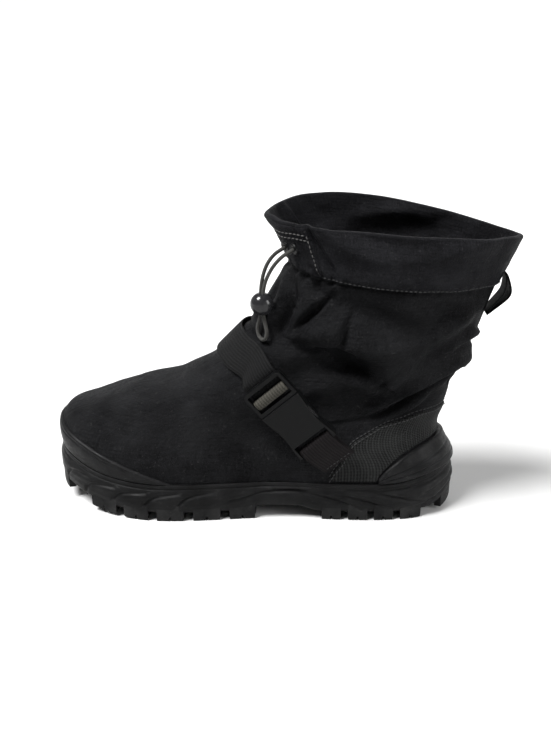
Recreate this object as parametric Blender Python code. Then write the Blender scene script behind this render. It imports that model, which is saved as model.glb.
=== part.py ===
"""A winter overshoe for the left foot: rubber lug outsole, coated fabric upper with a slack shaft,
gathered cuff with a drawcord, and an instep strap closed by a side-release buckle.

Metres, +Z up. The toe points along -X, the medial side along +Y. The origin is on the ground under
the centre of the heel."""

import math

import bmesh
import bpy
import numpy as np

# Driving sizes of the sole
SOLE_LENGTH = 0.322
BALL_WIDTH = 0.118
HEEL_BACK = 0.046
FLOOR_HEIGHT = 0.0172
LUG_DEPTH = 0.0062
RIM_HEIGHT = 0.0300
RIM_HEEL_RISE = 0.0090
RIM_TOE_RISE = 0.0030
TOE_SPRING = 0.0130
HEEL_BEVEL = 0.0060
ARCH_RISE = 0.0040
LUG_REACH = 0.0072
LUG_SET_IN = 0.0006
RIB_WIDTH = 0.0050
RIB_SET_UP = 0.0010
GROOVE_WIDTH = 0.0026
WALL_SWELL = 0.0010

# Driving sizes of the upper and what is sewn on it
BOOT_HEIGHT = 0.2450
UPPER_WALL = 0.0018
CUFF_THICKNESS = 0.0016
CUFF_SEAM_LEVEL = 0.815
QUARTER_THICKNESS = 0.0010
COUNTER_THICKNESS = 0.0026
COUNTER_HEIGHT = 0.0620
TOE_CAP_THICKNESS = 0.0024
TOE_CAP_HEIGHT = 0.0660
PLACKET_THICKNESS = 0.0012
PLACKET_WIDTH = 0.0340
INSOLE_THICKNESS = 0.0040
INSOLE_CLEARANCE = 0.0015
FOLD_WIDTH = 0.0140
FOLD_HEIGHT = 0.0040

# Driving sizes of the strap, buckle, loop and drawcord
WEBBING_WIDTH = 0.0290
WEBBING_THICKNESS = 0.0015
STRAP_STANDOFF = 0.0009
BUCKLE_WIDTH = 0.0350
BUCKLE_THICKNESS = 0.0088
BUCKLE_SHELL = 0.0016
BODY_LENGTH = 0.0430
FRAME_LENGTH = 0.0220
LOOP_WIDTH = 0.0200
LOOP_BULGE = 0.0085
CORD_DIAMETER = 0.0028
LOCK_DIAMETER = 0.0175
EYELET_OUTER = 0.0095
EYELET_THICKNESS = 0.0012
EYELET_EDGE = 0.0006

BUCKLE_WAIST = 0.0024
STRAP_TAIL = 0.0230
BAR_THICKNESS = 0.0030
BAR_WIDTH = 0.0040
SLOT_LENGTH = 0.0060
WEBBING_PLAY = 0.0006
MOUTH_DEPTH = 0.0240
MOUTH_HALF = 0.0132
PRONG_WIDTH = 0.0036
PRONG_PLAY = 0.0010
RAIL_WIDTH = 0.0030
FRAME_CORNER = 0.0025
FRAME_SLOT = 0.0045
FRAME_LOW = 0.0024
EYELET_BORE = 0.0036
EYELET_SPACING = 0.0104
STRAND_SPACING = 0.0032
STRAP_LEAD = 0.0020
STRAP_STEP = 0.0080
CUT_OVERLAP = 0.0010

CLEARANCE = 0.0003
OVERLAY_GAP = 0.0007
STATIONS_AROUND = 56
SHAFT_GIRTH = 0.470

# Places as shares: of the way round the outline, of the sole's length forward of its back, of the boot's height
COUNTER_REACH = 0.108
TOE_CAP_REACH = 0.185
TOE_CAP_CENTRE = 0.497
BACK_SEAM = 0.006
PLACKET_CENTRE = 0.574
EYELET_SHIFT = 0.014
EYELET_AROUND = PLACKET_CENTRE - EYELET_SHIFT
EYELET_RISE = 0.5676
EYELET_LEVEL = CUFF_SEAM_LEVEL + EYELET_RISE * (1 - CUFF_SEAM_LEVEL)
LOOP_LEVELS = (0.865, 0.728)
BUCKLE_LOW = (0.326, 0.275)
BUCKLE_HIGH = (0.470, 0.485)
LOCK_PLACE = (0.0050, 0.0165, -0.0390)
CORD_TURN = math.radians(-35)
TOE_BREAK = 0.72
HEEL_BREAK = 0.075
WAIST = (0.33, 0.39, 0.46, 0.52)
RIM_HEEL_END = 0.17
RIM_TOE_START = 0.86
FRONT = 0.5
HALF_BALL = BALL_WIDTH / 2
MERGE = 1e-6
UP = np.array([0.0, 0.0, 1.0])
ACROSS = np.array([0.0, 1.0, 0.0])

# Plan outline of the sole: share of the length from the back, then half widths as shares of half the ball width
FOOT_OUTLINE = (
    ("along", "medial", "lateral"),
    (0.000, 0.02, -0.02),
    (0.012, 0.24, 0.25),
    (0.045, 0.46, 0.48),
    (0.100, 0.64, 0.66),
    (0.170, 0.72, 0.745),
    (0.260, 0.715, 0.775),
    (0.360, 0.645, 0.77),
    (0.460, 0.635, 0.79),
    (0.560, 0.755, 0.875),
    (0.650, 0.905, 0.950),
    (0.730, 0.99, 0.970),
    (0.800, 1.00, 0.910),
    (0.870, 0.945, 0.775),
    (0.930, 0.82, 0.570),
    (0.970, 0.665, 0.345),
    (0.993, 0.47, 0.060),
    (1.000, 0.27, -0.27),
)

# Plan outline of the shaft: share of its length from the back, half widths as shares of its own half width
SHAFT_OUTLINE = (
    ("along", "medial", "lateral"),
    (0.000, 0.00, 0.00),
    (0.020, 0.16, 0.16),
    (0.090, 0.40, 0.42),
    (0.220, 0.68, 0.72),
    (0.400, 0.90, 0.94),
    (0.600, 1.00, 1.00),
    (0.780, 0.95, 0.93),
    (0.910, 0.74, 0.72),
    (0.980, 0.38, 0.38),
    (1.000, 0.00, 0.00),
)

# The upper's rings, from the feather edge to the collar. back and front are shares of the sole's length forward
# of its back. back_up and front_up are shares of the height from the sole's floor to BOOT_HEIGHT. lateral and
# medial are shares of half the ball width, and shaft goes from the foot's outline (0) to the shaft's (1).
UPPER_RINGS = (
    ("back", "back_up", "front", "front_up", "lateral", "medial", "shaft", "lateral_up", "medial_up"),
    (0.0180, 0.000, 0.9810, 0.000, 0.890, 0.885, 0.00, 0.0, 0.0),
    (0.0100, 0.059, 0.9860, 0.060, 0.935, 0.920, 0.00, 0.0, 0.0),
    (0.0090, 0.121, 0.9920, 0.135, 0.975, 0.955, 0.00, 0.0, 0.0),
    (0.0370, 0.182, 0.9690, 0.210, 0.950, 0.930, 0.04, 0.0, 0.0),
    (0.0450, 0.231, 0.8980, 0.278, 0.900, 0.875, 0.18, 0.0, 0.0),
    (0.0340, 0.279, 0.7950, 0.334, 0.860, 0.830, 0.38, 0.0, 0.0),
    (0.0220, 0.327, 0.6890, 0.388, 0.820, 0.790, 0.60, 0.0, 0.0),
    (0.0093, 0.380, 0.5990, 0.448, 0.790, 0.760, 0.80, 0.0, 0.0),
    (-0.0124, 0.455, 0.5280, 0.540, 0.780, 0.760, 0.94, 0.0, 0.0),
    (-0.0388, 0.565, 0.4660, 0.660, 0.800, 0.780, 1.00, 0.0, 0.0),
    (-0.0637, 0.675, 0.4250, 0.760, 0.810, 0.800, 1.00, 0.0, 0.0),
    (-0.0807, 0.741, 0.4100, 0.815, 0.810, 0.810, 1.00, -0.03, 0.0),
    (-0.1025, 0.807, 0.4320, 0.873, 0.825, 0.825, 1.00, -0.015, 0.025),
    (-0.1227, 0.873, 0.4630, 0.940, 0.830, 0.830, 1.00, -0.005, 0.055),
)

# Large folds of the slack shaft: side (1 medial, -1 lateral), then two ends of the crest as shares of the
# sole's length forward of its back and of the boot's height, then shares of FOLD_WIDTH and FOLD_HEIGHT
SHAFT_FOLDS = (
    ("side", "from_along", "from_up", "to_along", "to_up", "width", "height"),
    (-1, 0.02, 0.52, 0.34, 0.37, 0.93, 1.00),
    (-1, 0.25, 0.60, 0.44, 0.49, 1.00, 0.75),
    (1, 0.04, 0.50, 0.36, 0.40, 1.00, 0.95),
)

# The quarter panel's upper seam: share of the length forward of the back, share of the boot's height
QUARTER_SEAM = (
    ("along", "up"),
    (0.000, 0.350),
    (0.080, 0.345),
    (0.174, 0.318),
    (0.233, 0.265),
    (0.295, 0.171),
    (0.320, 0.105),
)

# The front strap's way over the instep: side (0 at the front), share of the length, share of the height
STRAP_ROUTE = (
    ("side", "along", "up"),
    (-1, 0.484, 0.515),
    (0, 0.470, 0.545),
    (1, 0.478, 0.495),
    (1, 0.405, 0.385),
    (1, 0.330, 0.280),
    (1, 0.270, 0.225),
)

# The drawcord from one eyelet to the foot of its loop, from the middle between the eyelets: out along the
# eyelets' axis, ahead of the boot, aside and up
CORD_ROUTE = (
    ("out", "ahead", "aside", "up"),
    (0.0004, 0.0000, 0.0052, 0.0000),
    (0.0032, 0.0000, 0.0052, 0.0000),
    (0.0050, 0.0044, 0.0049, -0.0030),
    (0.0050, 0.0096, 0.0042, -0.0090),
    (0.0050, 0.0136, 0.0030, -0.0170),
    (0.0050, 0.0158, 0.0019, -0.0250),
    (0.0050, 0.0165, 0.0016, -0.0310),
    (0.0050, 0.0165, 0.0016, -0.0390),
    (0.0050, 0.0165, 0.0017, -0.0480),
    (0.0050, 0.0165, 0.0038, -0.0528),
    (0.0050, 0.0165, 0.0060, -0.0590),
    (0.0050, 0.0165, 0.0042, -0.0645),
    (0.0050, 0.0165, 0.0000, -0.0664),
)

COLOURS = {
    "outsole_rubber": ((0.012, 0.012, 0.013), 0.55),
    "cap_rubber": ((0.016, 0.016, 0.017), 0.5),
    "shaft_fabric": ((0.010, 0.010, 0.011), 0.85),
    "coated_mesh": ((0.012, 0.013, 0.013), 0.6),
    "webbing": ((0.012, 0.012, 0.013), 0.8),
    "buckle_plastic": ((0.014, 0.014, 0.015), 0.4),
    "lining": ((0.014, 0.014, 0.015), 0.9),
    "drawcord": ((0.02, 0.02, 0.02), 0.8),
}


def column(table, name):
    """One named column of a table whose first row names its columns."""
    place = table[0].index(name)
    return np.array([row[place] for row in table[1:]], float)


def smooth_lookup(knots, values, at):
    """A smooth curve through the values at the knots, read at the places in `at`."""
    slopes = np.gradient(values, knots)
    i = np.clip(np.searchsorted(knots, at, side="right") - 1, 0, len(knots) - 2)
    step = knots[i + 1] - knots[i]
    t = (at - knots[i]) / step
    rise = values[i] * (1 + 2 * t) * (1 - t) ** 2 + values[i + 1] * t**2 * (3 - 2 * t)
    return rise + step * (slopes[i] * t * (1 - t) ** 2 - slopes[i + 1] * t**2 * (1 - t))


def smooth_step(low, high, at):
    t = np.clip((np.asarray(at, float) - low) / (high - low), 0, 1)
    return t * t * (3 - 2 * t)


def outline(table, around):
    """Along and across shares of a closed outline. around is 0 at the back, 0.5 at the front, by the medial side."""
    along = column(table, "along")
    medial = column(table, "medial")
    lateral = column(table, "lateral")
    loop_along = np.concatenate([along, along[-2:0:-1]])
    loop_across = np.concatenate([medial, -lateral[-2:0:-1]])
    half_share = HALF_BALL / SOLE_LENGTH
    closed_along = np.append(loop_along, loop_along[0])
    closed_across = np.append(loop_across, loop_across[0])
    chords = np.hypot(np.diff(closed_along), np.diff(closed_across) * half_share)
    run = np.concatenate([[0.0], np.cumsum(chords)])
    tip = len(along) - 1
    knots = np.where(
        np.arange(len(run)) <= tip,
        0.5 * run / run[tip],
        0.5 + 0.5 * (run - run[tip]) / (run[-1] - run[tip]),
    )
    pad = 3
    wide_knots = np.concatenate([knots[-1 - pad : -1] - 1, knots, knots[1 : 1 + pad] + 1])
    wide_along = np.concatenate([closed_along[-1 - pad : -1], closed_along, closed_along[1 : 1 + pad]])
    wide_across = np.concatenate([closed_across[-1 - pad : -1], closed_across, closed_across[1 : 1 + pad]])
    turn = np.mod(np.asarray(around, float), 1.0)
    return smooth_lookup(wide_knots, wide_along, turn), smooth_lookup(wide_knots, wide_across, turn)


def station(x):
    """Share of the sole's length forward of its back, at a place along X."""
    return (HEEL_BACK - x) / SOLE_LENGTH


def along_x(share):
    return HEEL_BACK - share * SOLE_LENGTH


def tread_height(share):
    """Height of the tread's lowest surface: flat under heel and ball, raised at the toe and the heel's edge."""
    heel = np.clip((HEEL_BREAK - np.asarray(share, float)) / HEEL_BREAK, 0, 1)
    return spring(share) + HEEL_BEVEL * heel**2


def spring(share):
    """How far the toe's part of sole and upper is raised."""
    toe = np.clip((np.asarray(share, float) - TOE_BREAK) / (1 - TOE_BREAK), 0, 1)
    return TOE_SPRING * toe**2


def base_height(share):
    """Height of the sole's plate between the lugs, with the arch."""
    arch = smooth_step(WAIST[0], WAIST[1], share) * (1 - smooth_step(WAIST[2], WAIST[3], share))
    return LUG_DEPTH + tread_height(share) + ARCH_RISE * arch


def rim_height(share):
    """Height of the sole's upper rim, which sweeps up at the heel and a little at the toe."""
    heel = 1 - smooth_step(0.0, RIM_HEEL_END, share)
    toe = smooth_step(RIM_TOE_START, 1.0, share)
    return RIM_HEIGHT + RIM_HEEL_RISE * heel + RIM_TOE_RISE * toe + spring(share)


def fold_height(points, side_share):
    """How far the shaft's large folds push its surface out at these points."""
    raised = np.zeros(points.shape[:-1])
    along = station(points[..., 0])
    up = points[..., 2] / BOOT_HEIGHT
    for side, from_along, from_up, to_along, to_up, width, height in SHAFT_FOLDS[1:]:
        run = np.array([(to_along - from_along) * SOLE_LENGTH, (to_up - from_up) * BOOT_HEIGHT])
        length = np.hypot(*run)
        ahead = (along - from_along) * SOLE_LENGTH
        above = (up - from_up) * BOOT_HEIGHT
        t = (ahead * run[0] + above * run[1]) / length**2
        off = (above * run[0] - ahead * run[1]) / length / (width * FOLD_WIDTH)
        reach = smooth_step(-0.25, 0.15, t) * (1 - smooth_step(0.85, 1.25, t))
        facing = smooth_step(0.15, 0.6, side * side_share)
        crest = np.exp(-((off - 0.6) ** 2)) - 0.8 * np.exp(-((off + 0.7) ** 2) * 1.4)
        raised += height * FOLD_HEIGHT * crest * reach * facing
    return raised


def upper_base(around, level):
    """The upper's outer surface without its folds, and the across share of each point."""
    knots = np.linspace(0, 1, len(UPPER_RINGS) - 1)
    ring = {name: smooth_lookup(knots, column(UPPER_RINGS, name), level) for name in UPPER_RINGS[0]}
    foot_along, foot_across = outline(FOOT_OUTLINE, around)
    shaft_along, shaft_across = outline(SHAFT_OUTLINE, around)
    along = foot_along + (shaft_along - foot_along) * ring["shaft"]
    across = foot_across + (shaft_across - foot_across) * ring["shaft"]
    share = ring["back"] + (ring["front"] - ring["back"]) * along
    half = np.where(across > 0, ring["medial"], ring["lateral"]) * HALF_BALL
    up = ring["back_up"] + (ring["front_up"] - ring["back_up"]) * along
    up = up + np.where(across > 0, ring["medial_up"], ring["lateral_up"]) * across**2
    floor = FLOOR_HEIGHT + CLEARANCE
    z = floor + up * (BOOT_HEIGHT - floor) + spring(share) * (1 - ring["shaft"])
    return np.stack([along_x(share), across * half, z], axis=-1), across


def normals_of(surface, around, level):
    """Unit normals, pointing out, of a surface function of around and level."""
    step = 2e-4
    low = np.clip(level - step, 0, 1)
    high = np.clip(level + step, 0, 1)
    turn = surface(around + step, level) - surface(around - step, level)
    rise = surface(around, high) - surface(around, low)
    normal = np.cross(turn, rise)
    return normal / np.linalg.norm(normal, axis=-1, keepdims=True)


def upper_folded(around, level):
    """The upper's outer surface with its folds."""
    around, level = np.broadcast_arrays(np.asarray(around, float), np.asarray(level, float))
    points, across = upper_base(around, level)
    normal = normals_of(lambda a, v: upper_base(a, v)[0], around, level)
    return points + normal * fold_height(points, across)[..., None]


def upper_points(around, level, out=0.0):
    """Points at a distance `out` from the upper's outer surface, along its normal."""
    around, level = np.broadcast_arrays(np.asarray(around, float), np.asarray(level, float))
    return upper_folded(around, level) + normals_of(upper_folded, around, level) * out


def level_at_height(around, height):
    """The upper's level at which its surface reaches a height, for each place around."""
    around = np.asarray(around, float)
    low = np.zeros(around.shape)
    high = np.ones(around.shape)
    for _ in range(30):
        middle = (low + high) / 2
        above = upper_base(around, middle)[0][..., 2] > height
        high = np.where(above, middle, high)
        low = np.where(above, low, middle)
    return (low + high) / 2


AROUND = np.linspace(0, 1, STATIONS_AROUND, endpoint=False)
FINE_AROUND = np.linspace(0, 1, 2 * STATIONS_AROUND, endpoint=False)
LEVELS = np.array([0, 0.077, 0.115, 0.154, 0.192, 0.231, 0.269, 0.308, 0.35, 0.395, 0.44, 0.485, 0.53, 0.58,
                   0.635, 0.69, 0.75, CUFF_SEAM_LEVEL, 0.875, 0.935, 1.0])


def make_material(name):
    colour, roughness = COLOURS[name]
    material = bpy.data.materials.new(name)
    material.use_nodes = True
    shader = material.node_tree.nodes["Principled BSDF"]
    shader.inputs["Base Color"].default_value = (*colour, 1)
    shader.inputs["Roughness"].default_value = roughness
    shader.inputs["Metallic"].default_value = 0.0
    return material


def add_mesh(name, vertices, faces, material=None, smooth=math.radians(35)):
    """A named object from vertices and faces, with its normals out."""
    mesh = bpy.data.meshes.new(name)
    mesh.from_pydata([tuple(map(float, v)) for v in vertices], [], [tuple(map(int, f)) for f in faces])
    work = bmesh.new()
    work.from_mesh(mesh)
    bmesh.ops.delete(work, geom=[v for v in work.verts if not v.link_faces], context="VERTS")
    bmesh.ops.remove_doubles(work, verts=work.verts, dist=MERGE)
    bmesh.ops.recalc_face_normals(work, faces=work.faces)
    work.to_mesh(mesh)
    work.free()
    thing = bpy.data.objects.new(name, mesh)
    bpy.context.scene.collection.objects.link(thing)
    if material:
        mesh.materials.append(bpy.data.materials.get(material) or make_material(material))
        mesh.shade_smooth()
        mesh.set_sharp_from_angle(angle=smooth)
    return thing


def thick_patch(name, around, levels, inner, outer, material, closed=False):
    """A shell on the upper between the offsets inner and outer. levels has a row for each ring and a column for
    each place around; rows that meet at a clipped edge collapse into one."""
    rows, columns = levels.shape
    ids = {}
    places = []

    def corner(i, j):
        key = (j, round(float(levels[i, j]), 7))
        if key not in ids:
            ids[key] = len(places)
            places.append((around[j], levels[i, j]))
        return ids[key]

    faces = []
    for i in range(rows - 1):
        for j in range(columns if closed else columns - 1):
            k = (j + 1) % columns
            loop = [corner(i, j), corner(i, k), corner(i + 1, k), corner(i + 1, j)]
            face = [c for n, c in enumerate(loop) if c not in loop[:n]]
            faces += [[face[0], face[n], face[n + 1]] for n in range(1, len(face) - 1)]
    count = len(places)
    at = np.array(places)
    outside = faceted_points(at[:, 0], at[:, 1], outer)
    inside = faceted_points(at[:, 0], at[:, 1], inner)
    edges = {}
    for face in faces:
        for a, b in zip(face, face[1:] + face[:1]):
            edges[(a, b)] = edges.get((a, b), 0) + 1
    rim = [(a, b) for (a, b) in edges if (b, a) not in edges]
    walls = [(b, a, a + count, b + count) for a, b in rim]
    backs = [[c + count for c in reversed(face)] for face in faces]
    return add_mesh(name, np.concatenate([outside, inside]), faces + backs + walls, material)


def clipped_levels(low, high):
    """The upper's level rows, clipped to a patch's lower and upper edge at each place around."""
    inner = LEVELS[(LEVELS > low.min()) & (LEVELS < high.max())]
    rows = np.concatenate([[low.min() - 1], inner, [high.max() + 1]])
    return np.clip(rows[:, None], low[None, :], high[None, :])


def sole_outline(around, grow=0.0):
    """Plan points of the sole's outline, grown outwards by `grow`."""
    around = np.asarray(around, float)

    def plan(a):
        along, across = outline(FOOT_OUTLINE, a)
        return np.stack([along_x(along), across * HALF_BALL], axis=-1)

    step = 1e-3
    run = plan(around + step) - plan(around - step)
    side = np.stack([-run[..., 1], run[..., 0]], axis=-1)
    side = -side / np.linalg.norm(side, axis=-1, keepdims=True)
    return plan(around) + side * np.asarray(grow)[..., None]


# The sole's side wall: share of the way from the plate's edge to the rim, and how many WALL_SWELL it stands out
SIDE_PROFILE = (
    ("up", "out"),
    (0.00, -3.0),
    (0.10, -0.8),
    (0.30, 0.4),
    (0.62, 0.6),
    (0.80, -0.8),
    (1.00, -1.4),
)


def side_wall(around, up):
    """Points of the sole's side wall at a share of the way up it."""
    around = np.asarray(around, float)
    out = WALL_SWELL * np.interp(up, column(SIDE_PROFILE, "up"), column(SIDE_PROFILE, "out"))
    plan = sole_outline(around, np.broadcast_to(out, around.shape))
    share = station(plan[..., 0])
    low = base_height(share)
    z = low + (rim_height(share) - low) * up
    return np.concatenate([plan, z[..., None]], axis=-1)


def ladder(ring, count, flip):
    """Faces that close a ring of points with rungs from its medial to its lateral half."""
    half = count // 2
    faces = [(ring, ring + 1, ring + count - 1)]
    for j in range(1, half - 1):
        faces.append((ring + j, ring + j + 1, ring + count - j - 1, ring + count - j))
    faces.append((ring + half - 1, ring + half, ring + half + 1))
    return [tuple(reversed(f)) for f in faces] if flip else faces


def prism(plan, low, high):
    """A closed block over a plan polygon, from its low to its high surface, which give a height for each point."""
    count = len(plan)
    share = station(plan[:, 0])
    bottom = np.column_stack([plan, low(share)])
    top = np.column_stack([plan, high(share)])
    faces = [tuple(range(count - 1, -1, -1)), tuple(range(count, 2 * count))]
    faces += [(j, (j + 1) % count, count + (j + 1) % count, count + j) for j in range(count)]
    return np.concatenate([bottom, top]), faces


def joined(name, pieces):
    """One mesh object from several closed pieces that don't touch, to be used in a Boolean."""
    vertices = []
    faces = []
    start = 0
    for points, sides in pieces:
        vertices.append(points)
        faces += [tuple(start + i for i in side) for side in sides]
        start += len(points)
    return add_mesh(name, np.concatenate(vertices), faces)


def combine(target, tool, operation):
    """Applies a Boolean to the target and removes the tool."""
    change = target.modifiers.new("change", "BOOLEAN")
    change.operation = operation
    change.solver = "EXACT"
    change.object = tool
    graph = bpy.context.evaluated_depsgraph_get()
    result = bpy.data.meshes.new_from_object(target.evaluated_get(graph))
    target.modifiers.clear()
    target.data = result
    bpy.data.objects.remove(tool)


def edge_at(share, side, inset):
    """Plan point on the outline at a share of the length, on one side, moved in by `inset`."""
    around = np.linspace(0.0, 0.5, 400) if side > 0 else np.linspace(1.0, 0.5, 400)
    plan = sole_outline(around, np.full(around.shape, -inset))
    shares = station(plan[:, 0])
    widest = np.maximum.accumulate(shares)
    return np.array([along_x(share), np.interp(share, widest, plan[:, 1])])


# Centre line of the long rib, from the toe past the waist and round the heel's back. across is a share of
# half the ball width, positive on the medial side.
RIB_LINE = (
    ("along", "across"),
    (0.915, -0.03),
    (0.890, 0.05),
    (0.811, 0.18),
    (0.694, 0.27),
    (0.579, 0.14),
    (0.500, 0.02),
    (0.405, -0.18),
    (0.320, -0.38),
    (0.241, -0.46),
    (0.160, -0.41),
    (0.100, -0.24),
    (0.080, 0.00),
    (0.100, 0.24),
    (0.150, 0.38),
)

# Edge blocks of the tread: side, centre along, length along, inner end (a share of half the ball width)
EDGE_BLOCKS = (
    ("side", "along", "length", "inner"),
    (1, 0.500, 0.068, 0.18),
    (1, 0.595, 0.074, 0.29),
    (1, 0.695, 0.076, 0.38),
    (1, 0.795, 0.074, 0.31),
    (1, 0.887, 0.062, 0.21),
    (-1, 0.515, 0.060, -0.57),
    (-1, 0.600, 0.064, -0.66),
    (-1, 0.688, 0.064, -0.68),
    (-1, 0.772, 0.060, -0.60),
    (-1, 0.856, 0.066, -0.46),
    (1, 0.262, 0.046, 0.47),
    (1, 0.202, 0.046, 0.48),
    (1, 0.142, 0.046, 0.51),
    (1, 0.088, 0.036, 0.44),
    (-1, 0.300, 0.046, -0.60),
    (-1, 0.236, 0.046, -0.62),
    (-1, 0.174, 0.046, -0.60),
    (-1, 0.108, 0.050, -0.45),
)

# Chevron blocks inside the rib: apex along and across, medial and lateral ends across, then how far each arm's
# outer end lies back of the apex (a negative value points the chevron at the heel)
CHEVRONS = (
    ("along", "apex", "medial", "lateral", "sweep"),
    (0.570, -0.22, 0.01, -0.50, 0.030),
    (0.640, -0.23, 0.10, -0.58, 0.034),
    (0.710, -0.21, 0.15, -0.60, 0.034),
    (0.780, -0.17, 0.10, -0.53, 0.032),
    (0.262, 0.06, 0.38, -0.34, -0.022),
    (0.206, 0.08, 0.38, -0.36, -0.022),
    (0.150, 0.09, 0.29, -0.30, -0.020),
)
CHEVRON_LENGTH = 0.050
CHEVRON_REACH = 0.30

# Where the toe's and the heel's pads start and end around the outline
PAD_ENDS = ((0.449, 0.566), (-0.043, 0.045))


def rib_points():
    """Plan points along the rib's centre line, read from a smooth curve."""
    along = column(RIB_LINE, "along")
    across = column(RIB_LINE, "across")
    plan = np.column_stack([along_x(along), across * HALF_BALL])
    run = np.concatenate([[0], np.cumsum(np.hypot(*np.diff(plan, axis=0).T))])
    at = np.linspace(0, run[-1], 44)
    return np.column_stack([smooth_lookup(run, plan[:, 0], at), smooth_lookup(run, plan[:, 1], at)])


def lug_low(share):
    return tread_height(share)


def lug_high(share):
    return base_height(share) + LUG_REACH


def inner_high(share):
    return base_height(share) + RIB_SET_UP


def rib_block():
    """The rib as one closed strip of quads."""
    centre = rib_points()
    run = np.gradient(centre, axis=0)
    side = np.column_stack([-run[:, 1], run[:, 0]])
    side = side / np.linalg.norm(side, axis=1, keepdims=True) * RIB_WIDTH / 2
    share = station(centre[:, 0])
    rows = [
        np.column_stack([centre - side, lug_low(share)]),
        np.column_stack([centre + side, lug_low(share)]),
        np.column_stack([centre + side, inner_high(share)]),
        np.column_stack([centre - side, inner_high(share)]),
    ]
    points = np.stack(rows, axis=1).reshape(-1, 3)
    faces = [(3, 2, 1, 0)]
    for j in range(len(centre) - 1):
        for c in range(4):
            faces.append((4 * j + c, 4 * j + (c + 1) % 4, 4 * j + 4 + (c + 1) % 4, 4 * j + 4 + c))
    last = 4 * (len(centre) - 1)
    faces.append((last, last + 1, last + 2, last + 3))
    return points, faces


def edge_block(side, along, length, inner):
    """A block at the sole's edge, which reaches up its side."""
    back = along - length / 2
    front = along + length / 2
    outer = [edge_at(s, side, LUG_SET_IN) for s in (back, along, front)]
    plan = [
        np.array([along_x(front), inner * HALF_BALL]),
        outer[2],
        outer[1],
        outer[0],
        np.array([along_x(back), inner * HALF_BALL]),
    ]
    return prism(np.array(plan), lug_low, lug_high)


def chevron_blocks(along, apex, medial, lateral, sweep):
    """The two blocks of one chevron, with a groove between them at its apex."""
    gap = GROOVE_WIDTH / 2 / HALF_BALL
    blocks = []
    for end, side in ((medial, 1), (lateral, -1)):
        near = apex + side * gap
        lean = sweep * abs(end - near) / CHEVRON_REACH
        corners = (
            (along + CHEVRON_LENGTH / 2, near),
            (along + CHEVRON_LENGTH / 2 - lean, end),
            (along - CHEVRON_LENGTH / 2 - lean, end),
            (along - CHEVRON_LENGTH / 2, near),
        )
        plan = np.array([[along_x(s), y * HALF_BALL] for s, y in corners])
        blocks.append(prism(plan, lug_low, inner_high))
    return blocks


def end_pads():
    """The toe's and the heel's rounded pads, which follow the outline."""
    pads = []
    for low, high in PAD_ENDS:
        around = np.linspace(low, high, 11)
        plan = sole_outline(around, np.full(around.shape, -LUG_SET_IN))
        pads.append(prism(plan, lug_low, lug_high))
    return pads


def make_outsole():
    """Cup sole: lugs, side wall with its groove, rim and a floor that the upper stands on."""
    count = STATIONS_AROUND
    rings = []
    for up in column(SIDE_PROFILE, "up"):
        rings.append(side_wall(AROUND, up))
    rim_level = level_at_height(AROUND, rings[-1][:, 2])
    for share in (1.0, 0.5, 0.0):
        rings.append(faceted_points(AROUND, rim_level * share, CLEARANCE))
    floor = rings[-1].copy()
    floor[:, 2] = FLOOR_HEIGHT + spring(station(floor[:, 0]))
    rings[-1] = floor
    points = np.concatenate(rings)
    faces = []
    for i in range(len(rings) - 1):
        for j in range(count):
            k = (j + 1) % count
            a, b, c, d = i * count + j, i * count + k, (i + 1) * count + k, (i + 1) * count + j
            faces += [(a, b, c), (a, c, d)]
    faces += ladder(0, count, False)
    faces += ladder((len(rings) - 1) * count, count, True)
    sole = add_mesh("outsole", points, faces, "outsole_rubber")
    blocks = [rib_block()] + end_pads()
    blocks += [edge_block(*row) for row in EDGE_BLOCKS[1:]]
    for row in CHEVRONS[1:]:
        blocks += chevron_blocks(*row)
    for n, block in enumerate(blocks):
        combine(sole, joined(f"block_{n}", [block]), "UNION")
    return sole


def faceted_points(around, levels, out):
    """Points on the upper's facets: straight between its stations and level rows, moved out along the normal."""
    around, levels = np.broadcast_arrays(np.asarray(around, float), np.asarray(levels, float))
    i = np.clip(np.searchsorted(LEVELS, levels, side="right") - 1, 0, len(LEVELS) - 2)
    t = ((levels - LEVELS[i]) / (LEVELS[i + 1] - LEVELS[i]))[..., None]
    place = around * STATIONS_AROUND
    j = np.floor(place + 1e-9)
    s = (place - j)[..., None]
    left = j / STATIONS_AROUND
    right = (j + 1) / STATIONS_AROUND
    low = upper_points(left, LEVELS[i], out) * (1 - s) + upper_points(right, LEVELS[i], out) * s
    high = upper_points(left, LEVELS[i + 1], out) * (1 - s) + upper_points(right, LEVELS[i + 1], out) * s
    return low * (1 - t) + high * t


def make_upper():
    """The fabric body: one hollow solid, open at the collar and underneath."""
    rows = np.repeat(LEVELS[:, None], STATIONS_AROUND, axis=1)
    return thick_patch("upper", AROUND, rows, -UPPER_WALL, 0.0, "shaft_fabric", closed=True)


def make_insole():
    """The footbed, which lies on the sole's floor inside the upper."""
    base = faceted_points(AROUND, 0.0, -UPPER_WALL - INSOLE_CLEARANCE)
    top = base.copy()
    share = station(base[:, 0])
    base[:, 2] = FLOOR_HEIGHT + CLEARANCE + spring(share)
    top[:, 2] = base[:, 2] + INSOLE_THICKNESS
    count = STATIONS_AROUND
    faces = [(j, (j + 1) % count, count + (j + 1) % count, count + j) for j in range(count)]
    faces += ladder(0, count, False) + ladder(count, count, True)
    return add_mesh("insole", np.concatenate([base, top]), faces, "lining")


def rim_levels(around, gap):
    """The upper's levels at a gap above the sole's rim."""
    rim = rim_height(station(sole_outline(around, np.zeros(around.shape))[:, 0]))
    return level_at_height(around, rim + gap)


def from_back(around):
    """Distance around from the heel's back, with its sign: positive on the medial side."""
    return np.mod(np.asarray(around) + 0.5, 1.0) - 0.5


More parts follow.
